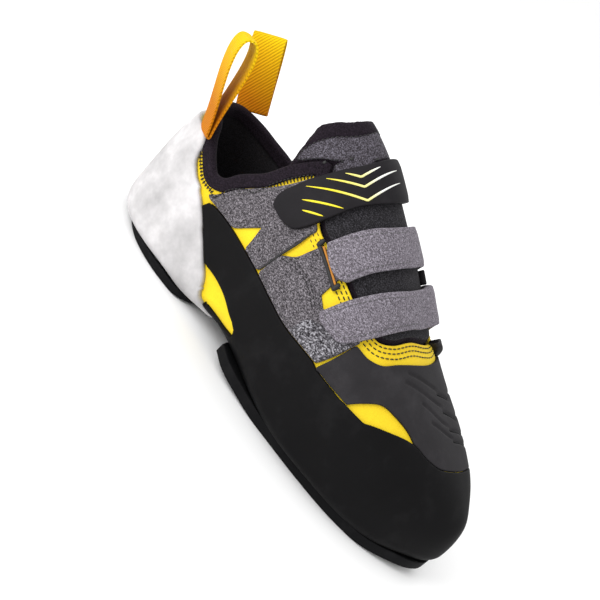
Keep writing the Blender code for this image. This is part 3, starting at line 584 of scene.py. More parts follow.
def side_shape(shares, corner=50):
    """Field of an outline seen from the side."""
    outline = [(length_at(a), INSTEP_HEIGHT * h) for a, h in shares]
    return inside(smooth_outline(outline, corner=corner), X, Z)


def plan_shape(shares, corner=50):
    """Field of an outline seen from above."""
    outline = [(length_at(a), BALL_WIDTH * w) for a, w in shares]
    return inside(smooth_outline(outline, corner=corner), X, Y)


def two_sided(outer_shares, inner_shares):
    """Field with one side outline on the outer half and another on the inner half."""
    weight = ease((Y + SIDE_BLEND) / (2 * SIDE_BLEND))
    return (1 - weight) * side_shape(outer_shares) + weight * side_shape(inner_shares)


def line_height(line, x):
    """Height of a side line over x."""
    points = [(length_at(a), INSTEP_HEIGHT * h) for a, h in line]
    curve = smooth_outline(points, closed=False, corner=80)
    return np.interp(x, curve[:, 0], curve[:, 1])


def above(outer_line, inner_line):
    """Field that is positive above a line that runs over both sides."""
    weight = ease((Y / BALL_WIDTH + COLLAR_BLEND) / (2 * COLLAR_BLEND))
    return Z - (1 - weight) * line_height(outer_line, X) - weight * line_height(inner_line, X)


def ripple(scale, size, seed):
    """Soft unevenness over the surface, the same for every layer."""
    rng = np.random.default_rng(seed)
    total = np.zeros(X.shape)
    for _ in range(10):
        way = rng.normal(size=3)
        way /= np.linalg.norm(way)
        wave = (X * way[0] + Y * way[1] + Z * way[2]) / scale
        total += np.sin(2 * pi * wave * rng.uniform(0.6, 1.5) + rng.uniform(0, 2 * pi))
    return size * total / 10**0.5


# Fields that several pieces share
OPEN_COLLAR = distance(above(COLLAR_OUTER, COLLAR_INNER))
UNDER_BINDING = -distance(above(BINDING_OUTER, BINDING_INNER))
THROAT = distance(np.minimum(plan_shape(THROAT_PLAN), Z - INSTEP_HEIGHT * THROAT_FOOT))
RAND_LOW = -distance(above(RAND_TOP, RAND_TOP))
CAP = distance(np.minimum(plan_shape(CAP_PLAN), Z - INSTEP_HEIGHT * CAP_FOOT))
CUP = distance(side_shape(CUP_SIDE))
OPENING = np.maximum(OPEN_COLLAR, THROAT)
UNEVEN = ripple(RIPPLE_LENGTH, RIPPLE_HEIGHT, RIPPLE_SEED)


def clip(values, level, extra=None, stride=1):
    """Part of the grid where values exceed level, cut along the level line.

    Returns the vertices' station, turn, climb steps, girth and extra, the triangles, and the
    directed edges of the cut with the kept side on their left.
    """
    field = with_poles(values[::stride, ::stride]) - level
    step_s, step_t = climb(values)
    extra = np.zeros(X.shape) if extra is None else extra
    grids = (GRID_S, GRID_T, step_s, step_t, GIRTH, extra)
    data = np.stack([with_poles(a[::stride, ::stride]) for a in grids], -1)
    keep = field > 0
    mesh = TRIANGLES[stride]
    count = keep[mesh].sum(1)
    whole = mesh[count == 3]
    part = mesh[(count == 1) | (count == 2)]
    kept = keep[part]
    one_in = kept.sum(1) == 1
    lone = np.where(one_in, kept.argmax(1), kept.argmin(1))
    row = np.arange(len(part))
    a, b, c = part[row, lone], part[row, (lone + 1) % 3], part[row, (lone + 2) % 3]
    pairs = np.concatenate([np.stack([a, b], -1), np.stack([a, c], -1)])
    pairs.sort(axis=1)
    size = len(field)
    keys, back = np.unique(pairs[:, 0] * size + pairs[:, 1], return_inverse=True)
    p, q = keys // size, keys % size
    share = (field[p] / (field[p] - field[q]))[:, None]
    other = data[q].copy()
    other[:, 1] = data[p, 1] + (other[:, 1] - data[p, 1] + pi) % (2 * pi) - pi
    cut_data = data[p] * (1 - share) + other * share
    on_ab, on_ac = size + back[:len(part)], size + back[len(part):]
    single = np.stack([a, on_ab, on_ac], -1)[one_in]
    double = [np.stack([on_ab, b, c], -1)[~one_in], np.stack([on_ab, c, on_ac], -1)[~one_in]]
    triangles = np.concatenate([whole, single] + double)
    edges = np.where(one_in[:, None], np.stack([on_ab, on_ac], -1), np.stack([on_ac, on_ab], -1))
    used, compact = np.unique(triangles, return_inverse=True)
    place = np.zeros(size + len(keys), int)
    place[used] = np.arange(len(used))
    return np.concatenate([data, cut_data])[used], compact.reshape(-1, 3), place[edges]


def mesh_object(name, corners, faces, materials, uv=None, face_material=None, sharp=None):
    """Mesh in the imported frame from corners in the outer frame."""
    mesh = bpy.data.meshes.new(name)
    mesh.from_pydata((corners + SEAT).tolist(), [], [tuple(f) for f in faces])
    for item in materials:
        mesh.materials.append(item)
    if uv is not None:
        layer = mesh.uv_layers.new(name="cloth")
        order = np.empty(len(mesh.loops), np.int32)
        mesh.loops.foreach_get("vertex_index", order)
        layer.data.foreach_set("uv", uv[order].astype(np.float32).ravel())
    if face_material is not None:
        mesh.polygons.foreach_set("material_index", np.asarray(face_material, np.int32))
    mesh.shade_smooth()
    if sharp:
        mesh.set_sharp_from_angle(angle=radians(sharp))
    piece = bpy.data.objects.new(name, mesh)
    bpy.context.scene.collection.objects.link(piece)
    return piece


def dress(piece, slot, *nodes):
    """Fasten a piece to the shoe and hide the solids that it stands for; slot is not used."""
    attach(piece, "root")
    if nodes:
        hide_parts(*nodes)
    return piece


def panel(name, values, low, high, rim, look, extra=None, under=None, stride=1):
    """Closed layer over the last where values are positive, with a rounded rim."""
    data, triangles, edges = clip(values, rim, extra, stride)
    station, turn, step_s, step_t, around, more = data.T
    border, order = np.unique(edges, return_inverse=True)
    i, j = order.reshape(-1, 2).T
    uv = np.stack([length_of(station), around], -1)
    rows = []
    for angle in np.linspace(0, pi / 2, RIM_ROWS + 1)[1:]:
        drop = min(rim, high - low) * (1 - cos(angle))
        rows.append((rim * sin(angle), high - drop + more[border] * cos(angle)))
    rows.append((rim, low))
    corners, uvs, faces = [form_point(station, turn, high + more)], [uv], [triangles]
    near, start = border, len(station)
    for away, depth in rows:
        corners.append(form_point(station[border] - step_s[border] * away,
                                  turn[border] - step_t[border] * away, depth))
        uvs.append(uv[border])
        far = np.arange(start, start + len(border))
        faces += [np.stack([near[j], near[i], far[i]], -1), np.stack([near[j], far[i], far[j]], -1)]
        near, start = far, start + len(border)
    under_face = sum(len(f) for f in faces)
    corners.append(form_point(station, turn, low))
    uvs.append(uv)
    far = start + border
    faces += [triangles[:, ::-1] + start, np.stack([near[j], near[i], far[i]], -1),
              np.stack([near[j], far[i], far[j]], -1)]
    faces = np.concatenate(faces)
    kinds = (np.arange(len(faces)) >= under_face).astype(int) if under else np.zeros(len(faces), int)
    looks = [look, under] if under else [look]
    return mesh_object(name, np.concatenate(corners), faces, looks, np.concatenate(uvs), kinds)


def level_lines(values, level, where=None):
    """Runs of stations and turns along a level line, split where the mask is negative."""
    extra = np.ones(X.shape) if where is None else where
    data, _, edges = clip(values, level, extra)
    follow = {int(i): int(j) for i, j in edges}
    lines = []
    while follow:
        first = next(iter(follow))
        chain = [first]
        here = follow.pop(first)
        while here in follow:
            chain.append(here)
            here = follow.pop(here)
        if here == first:
            chain.append(first)
        rows = data[chain]
        shown = rows[:, 5] > 0
        if shown.all():
            lines.append(rows)
            continue
        if len(rows) > 2 and shown[0] and shown[-1]:
            turn_by = int(np.argmin(shown))
            rows = np.roll(rows[:-1], -turn_by, axis=0)
            shown = rows[:, 5] > 0
        run = []
        for line, ok in zip(rows, shown):
            if ok:
                run.append(line)
            elif run:
                lines.append(np.array(run))
                run = []
        if run:
            lines.append(np.array(run))
    return [line for line in lines if len(line) > 3]


def resample(line, spacing, depth):
    """Even steps along a line of stations and turns; returns stations, turns and the points."""
    turn = np.unwrap(line[:, 1])
    run = run_of(form_point(line[:, 0], turn, depth))
    even = np.linspace(0, run[-1], max(2, int(run[-1] / spacing) + 1))
    station = np.interp(even, run, line[:, 0])
    turn = np.interp(even, run, turn)
    return station, turn, form_point(station, turn, depth)


def chart(points, spacing=0.0008):
    """Stations and turns of a line given by distance along the shoe and girth, in mm."""
    line = smooth_outline(np.array(points) * MM, closed=False, corner=25, spacing=spacing)
    turns = np.linspace(-pi, pi, 721)
    rows = []
    for x, around in line:
        station = float(station_at(x))
        run = run_of(last_point(station, turns))
        rows.append((station, np.interp(around, run - run[len(run) // 2], turns)))
    return np.array(rows)


def chart_shape(points):
    """Field of an outline given by distance along the shoe and girth, in mm."""
    return inside(smooth_outline(np.array(points) * MM), X, GIRTH)


def trough(lines, width, depth):
    """Soft groove along lines given by distance along the shoe and girth, in mm."""
    nearest = np.full(X.shape, 1.0)
    for points in lines:
        line = smooth_outline(np.array(points) * MM, closed=False, corner=25, spacing=0.002)
        for p, q in zip(line[:-1], line[1:]):
            nearest = np.minimum(nearest, gap_to(p, q, X, GIRTH))
    return -depth * np.exp(-nearest / width**2)


def cord(line, depth, radius, squash=0.7, spacing=0.0008, taper=0.0):
    """Rod along a line of stations and turns, thin at its ends if taper is set."""
    station, turn, points = resample(line, spacing, depth)
    share = np.linspace(-1, 1, len(points))
    radii = radius * (1 - taper * np.abs(share)**3)
    return sweep(points, CORD_SIDES, radii, squash, outward(station, turn))


def squares(rows, columns, wrap_rows=False, wrap_columns=True, flip=False):
    """Faces that join neighbouring rows of points."""
    faces = []
    for i in range(rows if wrap_rows else rows - 1):
        k = (i + 1) % rows
        for j in range(columns if wrap_columns else columns - 1):
            m = (j + 1) % columns
            a, b, c, d = i * columns + j, i * columns + m, k * columns + m, k * columns + j
            faces.append((a, d, c, b) if flip else (a, b, c, d))
    return faces


def sweep(points, sides, radii, squash, normals):
    """Vertices and faces of a rod along points, flattened along the normals."""
    count = len(points)
    ahead = np.roll(points, -1, axis=0) - np.roll(points, 1, axis=0)
    ahead[0] = points[1] - points[0]
    ahead[-1] = points[-1] - points[-2]
    ahead = unit(ahead)
    beside = unit(np.cross(ahead, normals))
    up = np.cross(beside, ahead)
    radii = np.broadcast_to(radii, count)[:, None, None]
    angles = np.linspace(0, 2 * pi, sides, endpoint=False)
    ring = (beside[:, None] * np.cos(angles)[None, :, None]
            + up[:, None] * np.sin(angles)[None, :, None] * squash) * radii
    ends = [tuple(range(sides))[::-1], tuple(range((count - 1) * sides, count * sides))]
    return (points[:, None] + ring).reshape(-1, 3), squares(count, sides) + ends


def trim(name, slot, parts, look):
    """One object from several lists of corners and faces, fastened to the shoe."""
    corners, faces, start = [], [], 0
    for points, polygons in parts:
        corners.append(points)
        faces += [tuple(i + start for i in f) for f in polygons]
        start += len(points)
    dress(mesh_object(name, np.concatenate(corners), faces, [look]), slot)


PILL = ((-1.0, 0.25), (-0.8, 0.75), (-0.35, 1.0), (0.35, 1.0), (0.8, 0.75), (1.0, 0.25))


def stitch(start, end, normal, radius):
    """One stitch: a short pill that dips into the cloth at its ends."""
    along = np.array([p for p, _ in PILL])
    width = np.array([w for _, w in PILL])
    middle, half = (start + end) / 2, (end - start) / 2
    points = middle + along[:, None] * half - np.outer(radius * 1.1 * along**4, normal)
    return sweep(points, STITCH_SIDES, radius * width, 0.85, np.tile(normal, (len(PILL), 1)))


def stitch_line(lines, depth, size):
    """Stitches along lines of stations and turns."""
    pitch, length, radius = size
    parts = []
    for line in lines:
        station, turn, points = resample(line, pitch, depth)
        normals = outward(np.clip(station, STATION_LOW, STATION_HIGH), turn)
        for start, end, normal in zip(points[:-1], points[1:], normals):
            way = end - start
            reach = np.linalg.norm(way)
            if reach >= pitch * 0.5:
                parts.append(stitch(start, start + way * length / reach, normal, radius))
    return parts


def walk(station, turn, direction, step, count):
    """Rows of stations and turns reached by following the surface along a direction."""
    rows = [(station, turn)]
    for _ in range(count):
        along, around = tangents(station, turn)
        normal = unit(np.cross(along, around))
        direction = unit(direction - (direction * normal).sum(1, keepdims=True) * normal)
        ss, st, tt = metric(along, around)
        on_s, on_t = (direction * along).sum(1), (direction * around).sum(1)
        area = ss * tt - st**2
        station = station + step * (tt * on_s - st * on_t) / area
        turn = turn + step * (ss * on_t - st * on_s) / area
        rows.append((station, turn))
    return rows


def downhill(points, normals):
    """Unit directions on the surface, square to a line of points and toward the ground."""
    down = unit(np.cross(normals, np.gradient(points, axis=0)))
    return -down if down[len(down) // 2, 2] > 0 else down


def node(tree, kind, **settings):
    """Shader node with its properties and inputs set by name."""
    made = tree.nodes.new(kind)
    for key, value in settings.items():
        if hasattr(made, key):
            setattr(made, key, value)
        else:
            made.inputs[key.replace("_", " ")].default_value = value
    return made


def finish(name, colour, roughness, **shader_values):
    """Principled material; returns it with its tree and shader."""
    made = bpy.data.materials.new(name)
    made.use_nodes = True
    tree = made.node_tree
    shader = tree.nodes["Principled BSDF"]
    shader.inputs["Base Color"].default_value = (*colour, 1)
    shader.inputs["Roughness"].default_value = roughness
    for key, value in shader_values.items():
        shader.inputs[key.replace("_", " ")].default_value = value
    return made, tree, shader


def place(tree, stretch=(1, 1, 1), cloth=False):
    """Object coordinates, or the cloth's own, in metres times stretch."""
    if cloth:
        source = node(tree, "ShaderNodeUVMap")
        source.uv_map = "cloth"
        out = source.outputs["UV"]
    else:
        out = node(tree, "ShaderNodeTexCoord").outputs["Object"]
    mapping = node(tree, "ShaderNodeMapping")
    mapping.inputs["Scale"].default_value = stretch
    tree.links.new(out, mapping.inputs["Vector"])
    return mapping.outputs["Vector"]


def noise(tree, vector, scale, detail, roughness):
    """Noise value over a vector."""
    made = node(tree, "ShaderNodeTexNoise", Scale=scale, Detail=detail, Roughness=roughness)
    tree.links.new(vector, made.inputs["Vector"])
    return made.outputs["Fac"]


def ramp(tree, value, stops):
    """Colour ramp with (position, colour) stops."""
    made = node(tree, "ShaderNodeValToRGB")
    made.color_ramp.elements[0].position = stops[0][0]
    made.color_ramp.elements[0].color = (*stops[0][1], 1)
    made.color_ramp.elements[1].position = stops[-1][0]
    made.color_ramp.elements[1].color = (*stops[-1][1], 1)
    for position, colour in stops[1:-1]:
        made.color_ramp.elements.new(position).color = (*colour, 1)
    tree.links.new(value, made.inputs["Fac"])
    return made.outputs["Color"]


def paint(tree, shader, value, stops):
    """Colour the shader by a ramp over a value."""
    tree.links.new(ramp(tree, value, stops), shader.inputs["Base Color"])


def between(tree, value, low, high, start=0.0, end=1.0):
    """Value from start to end mapped to low to high."""
    made = node(tree, "ShaderNodeMapRange")
    made.inputs["From Min"].default_value = start
    made.inputs["From Max"].default_value = end
    made.inputs["To Min"].default_value = low
    made.inputs["To Max"].default_value = high
    tree.links.new(value, made.inputs["Value"])
    return made.outputs["Result"]


def combine(tree, operation, *values):
    """Sum or product of sockets and plain numbers."""
    made = node(tree, "ShaderNodeMath", operation=operation)
    for slot, value in zip(made.inputs, values):
        if isinstance(value, float):
            slot.default_value = value
        else:
            tree.links.new(value, slot)
    return made.outputs[0]


def axis(tree, letter):
    """One of the object's coordinates."""
    split = node(tree, "ShaderNodeSeparateXYZ")
    tree.links.new(place(tree), split.inputs["Vector"])
    return split.outputs[letter]


def bump(tree, shader, heights):
    """Chain of bumps on the shader: (height, strength, distance)."""
    normal = None
    for height, strength, depth in heights:
        made = node(tree, "ShaderNodeBump", Strength=strength, Distance=depth)
        tree.links.new(height, made.inputs["Height"])
        if normal is not None:
            tree.links.new(normal, made.inputs["Normal"])
        normal = made.outputs["Normal"]
    tree.links.new(normal, shader.inputs["Normal"])


def rubber(name, colour, roughness, grain, shine):
    """Moulded rubber: faint mottle, dust and a fine grain."""
    made, tree, shader = finish(name, colour, roughness, Specular_IOR_Level=shine)
    vector = place(tree)
    cloud = noise(tree, vector, 60, 4, 0.6)
    fine = noise(tree, vector, 1800, 2, 0.6)
    light = tuple(min(1, c * 1.35 + 0.004) for c in colour)
    dark = tuple(c * 0.75 for c in colour)
    paint(tree, shader, cloud, ((0.3, dark), (0.52, colour), (0.75, light)))
    tree.links.new(between(tree, cloud, roughness - 0.08, roughness + 0.1), shader.inputs["Roughness"])
    bump(tree, shader, [(fine, 0.25 * grain, 0.00012), (cloud, 0.1, 0.0006)])
    return made


def synthetic(name, colour, shade):
    """Smooth synthetic suede with a short nap."""
    made, tree, shader = finish(name, colour, 0.72, Sheen_Weight=0.05, Sheen_Roughness=0.4,
                                Specular_IOR_Level=0.2)
    vector = place(tree)
    nap = noise(tree, vector, 1500, 4, 0.65)
    cloud = noise(tree, vector, 45, 3, 0.55)
    blend = combine(tree, "MULTIPLY_ADD", nap, 0.45, between(tree, cloud, 0.0, 0.55))
    paint(tree, shader, blend, ((0.3, shade), (0.62, colour)))
    bump(tree, shader, [(nap, 0.35, 0.00015)])
    return made


def heather(name, dark, middle, light, scale=1.0, hairy=0.5):
    """Brushed marl cloth: light and dark fibres in a felted nap."""
    made, tree, shader = finish(name, middle, 0.92, Sheen_Weight=0.05, Sheen_Roughness=0.5,
                                Specular_IOR_Level=0.1)
    fleck = noise(tree, place(tree), 1500 * scale, 2, 0.75)
    hair = noise(tree, place(tree, (1.0, 2.6, 1.6)), 1000 * scale, 3, 0.7)
    nap = combine(tree, "MULTIPLY", combine(tree, "ADD", fleck, hair), 0.5)
    paint(tree, shader, nap, ((0.40, dark), (0.50, middle), (0.60, light)))
    bump(tree, shader, [(nap, hairy, 0.0004)])
    return made


def knit(name, colour, light, pitch=0.0011):
    """Stretch knit: fine rows of loops with a soft pile."""
    made, tree, shader = finish(name, colour, 0.9, Sheen_Weight=0.03, Sheen_Roughness=0.4,
                                Specular_IOR_Level=0.12)
    vector = place(tree)
    cell = node(tree, "ShaderNodeTexVoronoi", Scale=1 / pitch)
    tree.links.new(vector, cell.inputs["Vector"])
    fibre = noise(tree, vector, 1700, 3, 0.7)
    paint(tree, shader, fibre, ((0.38, colour), (0.68, light)))
    bump(tree, shader, [(cell.outputs["Distance"], 0.45, 0.0004), (fibre, 0.4, 0.0002)])
    return made


def ribbon_cloth(name, top, colour, shade):
    """Woven ribbon with twill ribs across, deeper in colour toward its foot."""
    made, tree, shader = finish(name, colour, 0.75, Specular_IOR_Level=0.08)
    ribs = node(tree, "ShaderNodeTexWave", wave_type="BANDS", bands_direction="DIAGONAL",
                Scale=330.0, Distortion=0.6, Detail=1.0)
    tree.links.new(place(tree, cloth=True), ribs.inputs["Vector"])
    fine = noise(tree, place(tree), 1600, 2, 0.6)
    weave = combine(tree, "MULTIPLY_ADD", ribs.outputs["Fac"], 0.6, between(tree, fine, 0.0, 0.4))
    height = between(tree, axis(tree, "Z"), 0.0, 1.0, 0.080, 0.124)
    mix = node(tree, "ShaderNodeMix", data_type="RGBA", blend_type="MULTIPLY")
    mix.inputs["Factor"].default_value = 1.0
    tree.links.new(ramp(tree, height, ((0.0, shade), (0.5, colour), (1.0, top))), mix.inputs[6])
    tree.links.new(ramp(tree, weave, ((0.1, (0.55, 0.50, 0.45)), (0.6, (1.0, 1.0, 1.0)))),
                   mix.inputs[7])
    tree.links.new(mix.outputs[2], shader.inputs["Base Color"])
    bump(tree, shader, [(ribs.outputs["Fac"], 0.6, 0.00025), (fine, 0.2, 0.0001)])
    return made


def printed(name):
    """Raised print, yellow on the outer side and white toward the ridge."""
    made, tree, shader = finish(name, (0.80, 0.70, 0.05), 0.5, Specular_IOR_Level=0.2)
    across = between(tree, axis(tree, "Y"), 0.0, 1.0, SEAT[1] - 0.024, SEAT[1] - 0.010)
    paint(tree, shader, across, ((0.0, (0.78, 0.66, 0.03)), (0.6, (0.80, 0.76, 0.30)),
                                 (1.0, (0.85, 0.85, 0.80))))
    bump(tree, shader, [(noise(tree, place(tree), 2500, 2, 0.6), 0.2, 0.0001)])
    return made


def thread(name, colour):
    """Twisted thread."""
    made, tree, shader = finish(name, colour, 0.6)
    fine = noise(tree, place(tree), 3000, 1, 0.5)
    tone = tuple(c * 0.7 for c in colour)
    paint(tree, shader, fine, ((0.35, tone), (0.65, colour)))
    bump(tree, shader, [(fine, 0.4, 0.0001)])
    return made


YELLOW = synthetic("yellow_synthetic", (0.80, 0.61, 0.018), (0.72, 0.45, 0.010))
RAND_RUBBER = rubber("rand_rubber", (0.0030, 0.0028, 0.0032), 0.60, 1.0, 0.10)
SOLE_RUBBER = rubber("sole_rubber", (0.0040, 0.0040, 0.0046), 0.66, 1.6, 0.10)
PATCH_RUBBER = rubber("patch_rubber", (0.020, 0.0185, 0.0205), 0.72, 2.6, 0.15)
CUP_RUBBER = rubber("cup_rubber", (0.49, 0.478, 0.482), 0.5, 0.5, 0.15)
HEATHER = heather("grey_heather", (0.018, 0.016, 0.018), (0.075, 0.068, 0.075), (0.24, 0.22, 0.24))
STRAP_CLOTH = heather("strap_heather", (0.055, 0.048, 0.056), (0.140, 0.125, 0.145),
                      (0.31, 0.285, 0.33), 1.0, 0.4)
COARSE_HEATHER = heather("coarse_heather", (0.012, 0.012, 0.013), (0.070, 0.066, 0.074),
                         (0.36, 0.35, 0.38), 0.8, 0.7)
TONGUE_CLOTH = heather("tongue_heather", (0.014, 0.012, 0.014), (0.048, 0.042, 0.050),
                       (0.15, 0.14, 0.17), 1.1, 0.4)
DARK_MESH = heather("dark_mesh", (0.004, 0.004, 0.0045), (0.016, 0.015, 0.017),
                    (0.055, 0.052, 0.060), 1.2, 0.5)
DARK_KNIT = knit("dark_knit", (0.0035, 0.0022, 0.0036), (0.022, 0.015, 0.023))
LINING = knit("lining", (0.010, 0.009, 0.010), (0.030, 0.028, 0.032), 0.0016)
TAB_RUBBER = rubber("tab_rubber", (0.0095, 0.0082, 0.0100), 0.66, 1.8, 0.15)
RIBBON = ribbon_cloth("yellow_ribbon", (0.80, 0.62, 0.004), (0.70, 0.38, 0.003),
                      (0.52, 0.17, 0.002))
BLACK_THREAD = thread("black_thread", (0.006, 0.0055, 0.006))
ORANGE_THREAD = thread("orange_thread", (0.52, 0.20, 0.012))
GREY_THREAD = thread("grey_thread", (0.10, 0.095, 0.10))
PRINT = printed("chevron_print")
BOARD = heather("board", (0.30, 0.27, 0.22), (0.42, 0.39, 0.33), (0.55, 0.52, 0.46), 0.7, 0.2)


def make_upper():
    """Yellow wall with its dark lining."""
    across = np.minimum(Y - column("outer", GRID_S) - TREAD_MARGIN,
                        column("inner", GRID_S) - TREAD_MARGIN - Y)
    along = np.minimum(X - length_at(TREAD_START), length_at(TREAD_END) - X)
    hole = np.where(np.cos(GRID_T) < -0.5, distance(np.minimum(across, along)), -0.02)
    piece = panel("upper_wall", np.minimum(-OPENING, -hole), -UPPER_WALL, 0.0, RIM, YELLOW, UNEVEN,
                  under=LINING, stride=COARSE)
    dress(piece, "upper", "upper")


def make_rand():
    """Black rubber round the foot with its two cut-outs."""
    window = np.where(Y < 0, side_shape(REAR_WINDOW_SIDE, 70), -0.02)
    region = np.minimum.reduce([RAND_LOW, -CAP, -CUP - GAP, -distance(window)])
    piece = panel("rand_rubber", region, 0.0, RAND_FACE, RAND_RIM, RAND_RUBBER, UNEVEN,
                  stride=COARSE)
    dress(piece, "rand", "rand")


def make_toe_patch():
    """Charcoal rubber over the toes with angled grooves; black rods in the grooves are painted shade.
    """
    region = np.minimum(CAP - GAP, -distance(plan_shape(CRESCENT_PLAN)))
    relief = UNEVEN + trough(TOE_GROOVES, GROOVE_WIDTH, GROOVE_DEPTH)
    piece = panel("toe_patch_rubber", region, 0.0, PATCH_FACE, RIM, PATCH_RUBBER, relief)
    dress(piece, "toe_patch", "toe_patch")
    # Black rods laid in the grooves: painted shade where the grooves fall into shadow.
    lines = [cord(chart(line), PATCH_FACE - 0.0006, 0.00050, 0.6, taper=0.8) for line in TOE_GROOVES]
    trim("toe_groove_painted_shade", "toe_patch", lines, SOLE_RUBBER)


def make_heel_cup():
    """Off-white rubber cup, drawn forward in a tail."""
    region = np.minimum(CUP, UNDER_BINDING - GAP)
    piece = panel("heel_cup_rubber", region, 0.0, CUP_FACE, CUP_RIM, CUP_RUBBER, UNEVEN,
                  stride=COARSE)
    dress(piece, "heel_cup", "heel_cup")


def make_heel_wrap():
    """Thin black rubber that runs up from the heel sole over the cup's back edge."""
    half = WRAP_HALF_WIDTH - WRAP_NARROWING * np.clip((Z - WRAP_FOOT) / WRAP_RISE, 0, 1)
    back = np.minimum.reduce([half - np.abs(Y), WRAP_TOP - Z, WRAP_REACH - X])
    region = np.minimum(distance(back), CUP - 0.001)
    piece = panel("heel_wrap", region, CUP_FACE + GAP, WRAP_FACE, WRAP_RIM, SOLE_RUBBER, UNEVEN)
    dress(piece, "heel_sole")


def make_quarters():
    """Grey cloth overlays on both sides, and what is sewn on the front one."""
    on_top = OVERLAY_FACE + 0.0001
    clear = np.minimum.reduce([UNDER_BINDING - GAP, -RAND_LOW - GAP, -CUP - GAP, -THROAT - 0.001,
                               -CAP])
    regions = {}
    for name, outline, half in (("rear_quarter", REAR_QUARTER_SIDE, -Y),
                                ("front_quarter", FRONT_QUARTER_SIDE, -Y),
                                ("inner_quarter", INNER_QUARTER_SIDE, Y)):
        region = np.minimum.reduce([distance(side_shape(outline)), clear, half - 0.001])
        regions[name] = region
        piece = panel(name + "_cloth", region, 0.0, OVERLAY_FACE, RIM, HEATHER, UNEVEN)
        dress(piece, name, name)
        edge = stitch_line(level_lines(region, QUARTER_STITCH_INSET), on_top, QUARTER_STITCH)
        trim(name + "_stitches", name, edge, GREY_THREAD)
    hook = np.minimum(distance(chart_shape(HOOK_PATCH)), regions["front_quarter"] - 0.0004)
    piece = panel("hook_patch", hook, OVERLAY_FACE + GAP, HOOK_FACE, THIN_RIM, COARSE_HEATHER,
                  UNEVEN)
    dress(piece, "front_quarter")
    lines = [chart(np.array(DOUBLE_LINE) + (0, shift)) for shift in (-0.9, 0.9)]
    trim("front_double_stitches", "front_quarter", stitch_line(lines, on_top, DOUBLE_STITCH),
         BLACK_THREAD)
    trim("rear_quarter_fold", "rear_quarter", [cord(chart(FOLD_LINE), on_top, 0.0006, 0.6, taper=0.7)],
         BLACK_THREAD)
    slot = [cord(chart(SLOT_EDGE), OVERLAY_FACE + 0.0003, 0.0010, 0.8)]
    for x, around in (SLOT_EDGE[0], SLOT_EDGE[-1]):
        end = chart([(x, around - 1.0), (x, around + 3.5)])
        slot.append(cord(end, OVERLAY_FACE + 0.0006, 0.0013, 0.8, 0.0006, 0.5))
    trim("slot_edge", "front_quarter", slot, BLACK_THREAD)
    trim("slot_cord", "front_quarter", [cord(chart(SLOT_CORD), OVERLAY_FACE + 0.0006, 0.0006)],
         ORANGE_THREAD)


def make_straps():
    """Three straps and the tabs that hold them."""
    for name, outer, inner, cloth in (
            ("top_strap", TOP_STRAP_OUTER, TOP_STRAP_INNER, TAB_RUBBER),
            ("middle_strap", MIDDLE_STRAP_OUTER, MIDDLE_STRAP_INNER, STRAP_CLOTH),
            ("front_strap", FRONT_STRAP_OUTER, FRONT_STRAP_INNER, STRAP_CLOTH)):
        region = distance(two_sided(outer, inner))
        puff = STRAP_PUFF * ease(region / 0.004)
        if name == "front_strap":
            puff = puff + FRONT_STRAP_PUFF * ease((Y - 0.004) / 0.016)
        piece = panel(name + "_band", region, STRAP_SEAT, STRAP_FACE, STRAP_RIM, cloth, UNEVEN + puff)
        dress(piece, name, name)
        if name != "top_strap":
            lines = level_lines(region, STRAP_STITCH_INSET, -Y)
            edge = stitch_line(lines, STRAP_FACE + STRAP_PUFF, STRAP_STITCH)
            trim(name + "_stitches", name, edge, GREY_THREAD)
    marks = [cord(chart(line), STRAP_FACE + 0.00045, 0.00055, 0.5, taper=0.8) for line in CHEVRONS]
    trim("top_strap_marks", "top_strap", marks, PRINT)
    for name, outline, face in (("middle_keeper", MIDDLE_KEEPER_SIDE, KEEPER_FACE),
                                ("front_keeper", FRONT_KEEPER_SIDE, FRONT_KEEPER_FACE)):
        region = np.minimum(distance(side_shape(outline)), Y - KEEPER_START)
        dress(panel(name + "_tab", region, 0.0, face, RIM, TAB_RUBBER, UNEVEN), name, name)


def make_tongue():
    """Padded tongue, tucked under the upper, with a knit border and a grey middle."""
    rear = distance(plan_shape(TONGUE_REAR_PLAN))
    room = np.maximum(THROAT, np.minimum(rear, OPEN_COLLAR))
    cut = distance(side_shape(TONGUE_SIDE))
    region = np.minimum.reduce([np.maximum(THROAT + TONGUE_LAP, rear), room + TONGUE_LAP, cut])
    roll = 0.0009 * ease((0.009 - cut) / 0.002)
    rise = (0.0031 + roll) * ease((room - 0.0004) / 0.0022) * ease(region / 0.002 + 0.4)
    piece = panel("tongue_pad", region, -TONGUE_SEAT - TONGUE_THICKNESS, -0.0030, TONGUE_RIM,
                  DARK_KNIT, rise, stride=COARSE)
    dress(piece, "tongue", "tongue")
    middle = np.minimum(room - 0.0025, cut - TONGUE_BORDER)
    before_split = length_at(TONGUE_SPLIT) - X
    rear_part = np.minimum(middle, before_split)
    front_part = np.minimum(middle, -before_split - GAP)
    face = panel("tongue_face", rear_part, TONGUE_FACE_FOOT, 0.0006, STRAP_RIM, TONGUE_CLOTH,
                 0.6 * UNEVEN)
    dress(face, "tongue")
    seam = stitch_line(level_lines(middle, 0.0002, before_split), 0.0009, TONGUE_STITCH)
    trim("tongue_stitches", "tongue", seam, BLACK_THREAD)
    dots = []
    for x, around in HOLES:
        across = chart([(x - 0.7, around), (x + 0.7, around)], 0.0003)
        dots.append(cord(across, 0.0017, 0.0010, 0.4, 0.0002, 0.6))
    trim("tongue_holes", "tongue", dots, BLACK_THREAD)
    mesh = panel("tongue_mesh", front_part, TONGUE_FACE_FOOT, 0.0004, STRAP_RIM, DARK_MESH,
                 0.6 * UNEVEN)
    dress(mesh, "tongue")


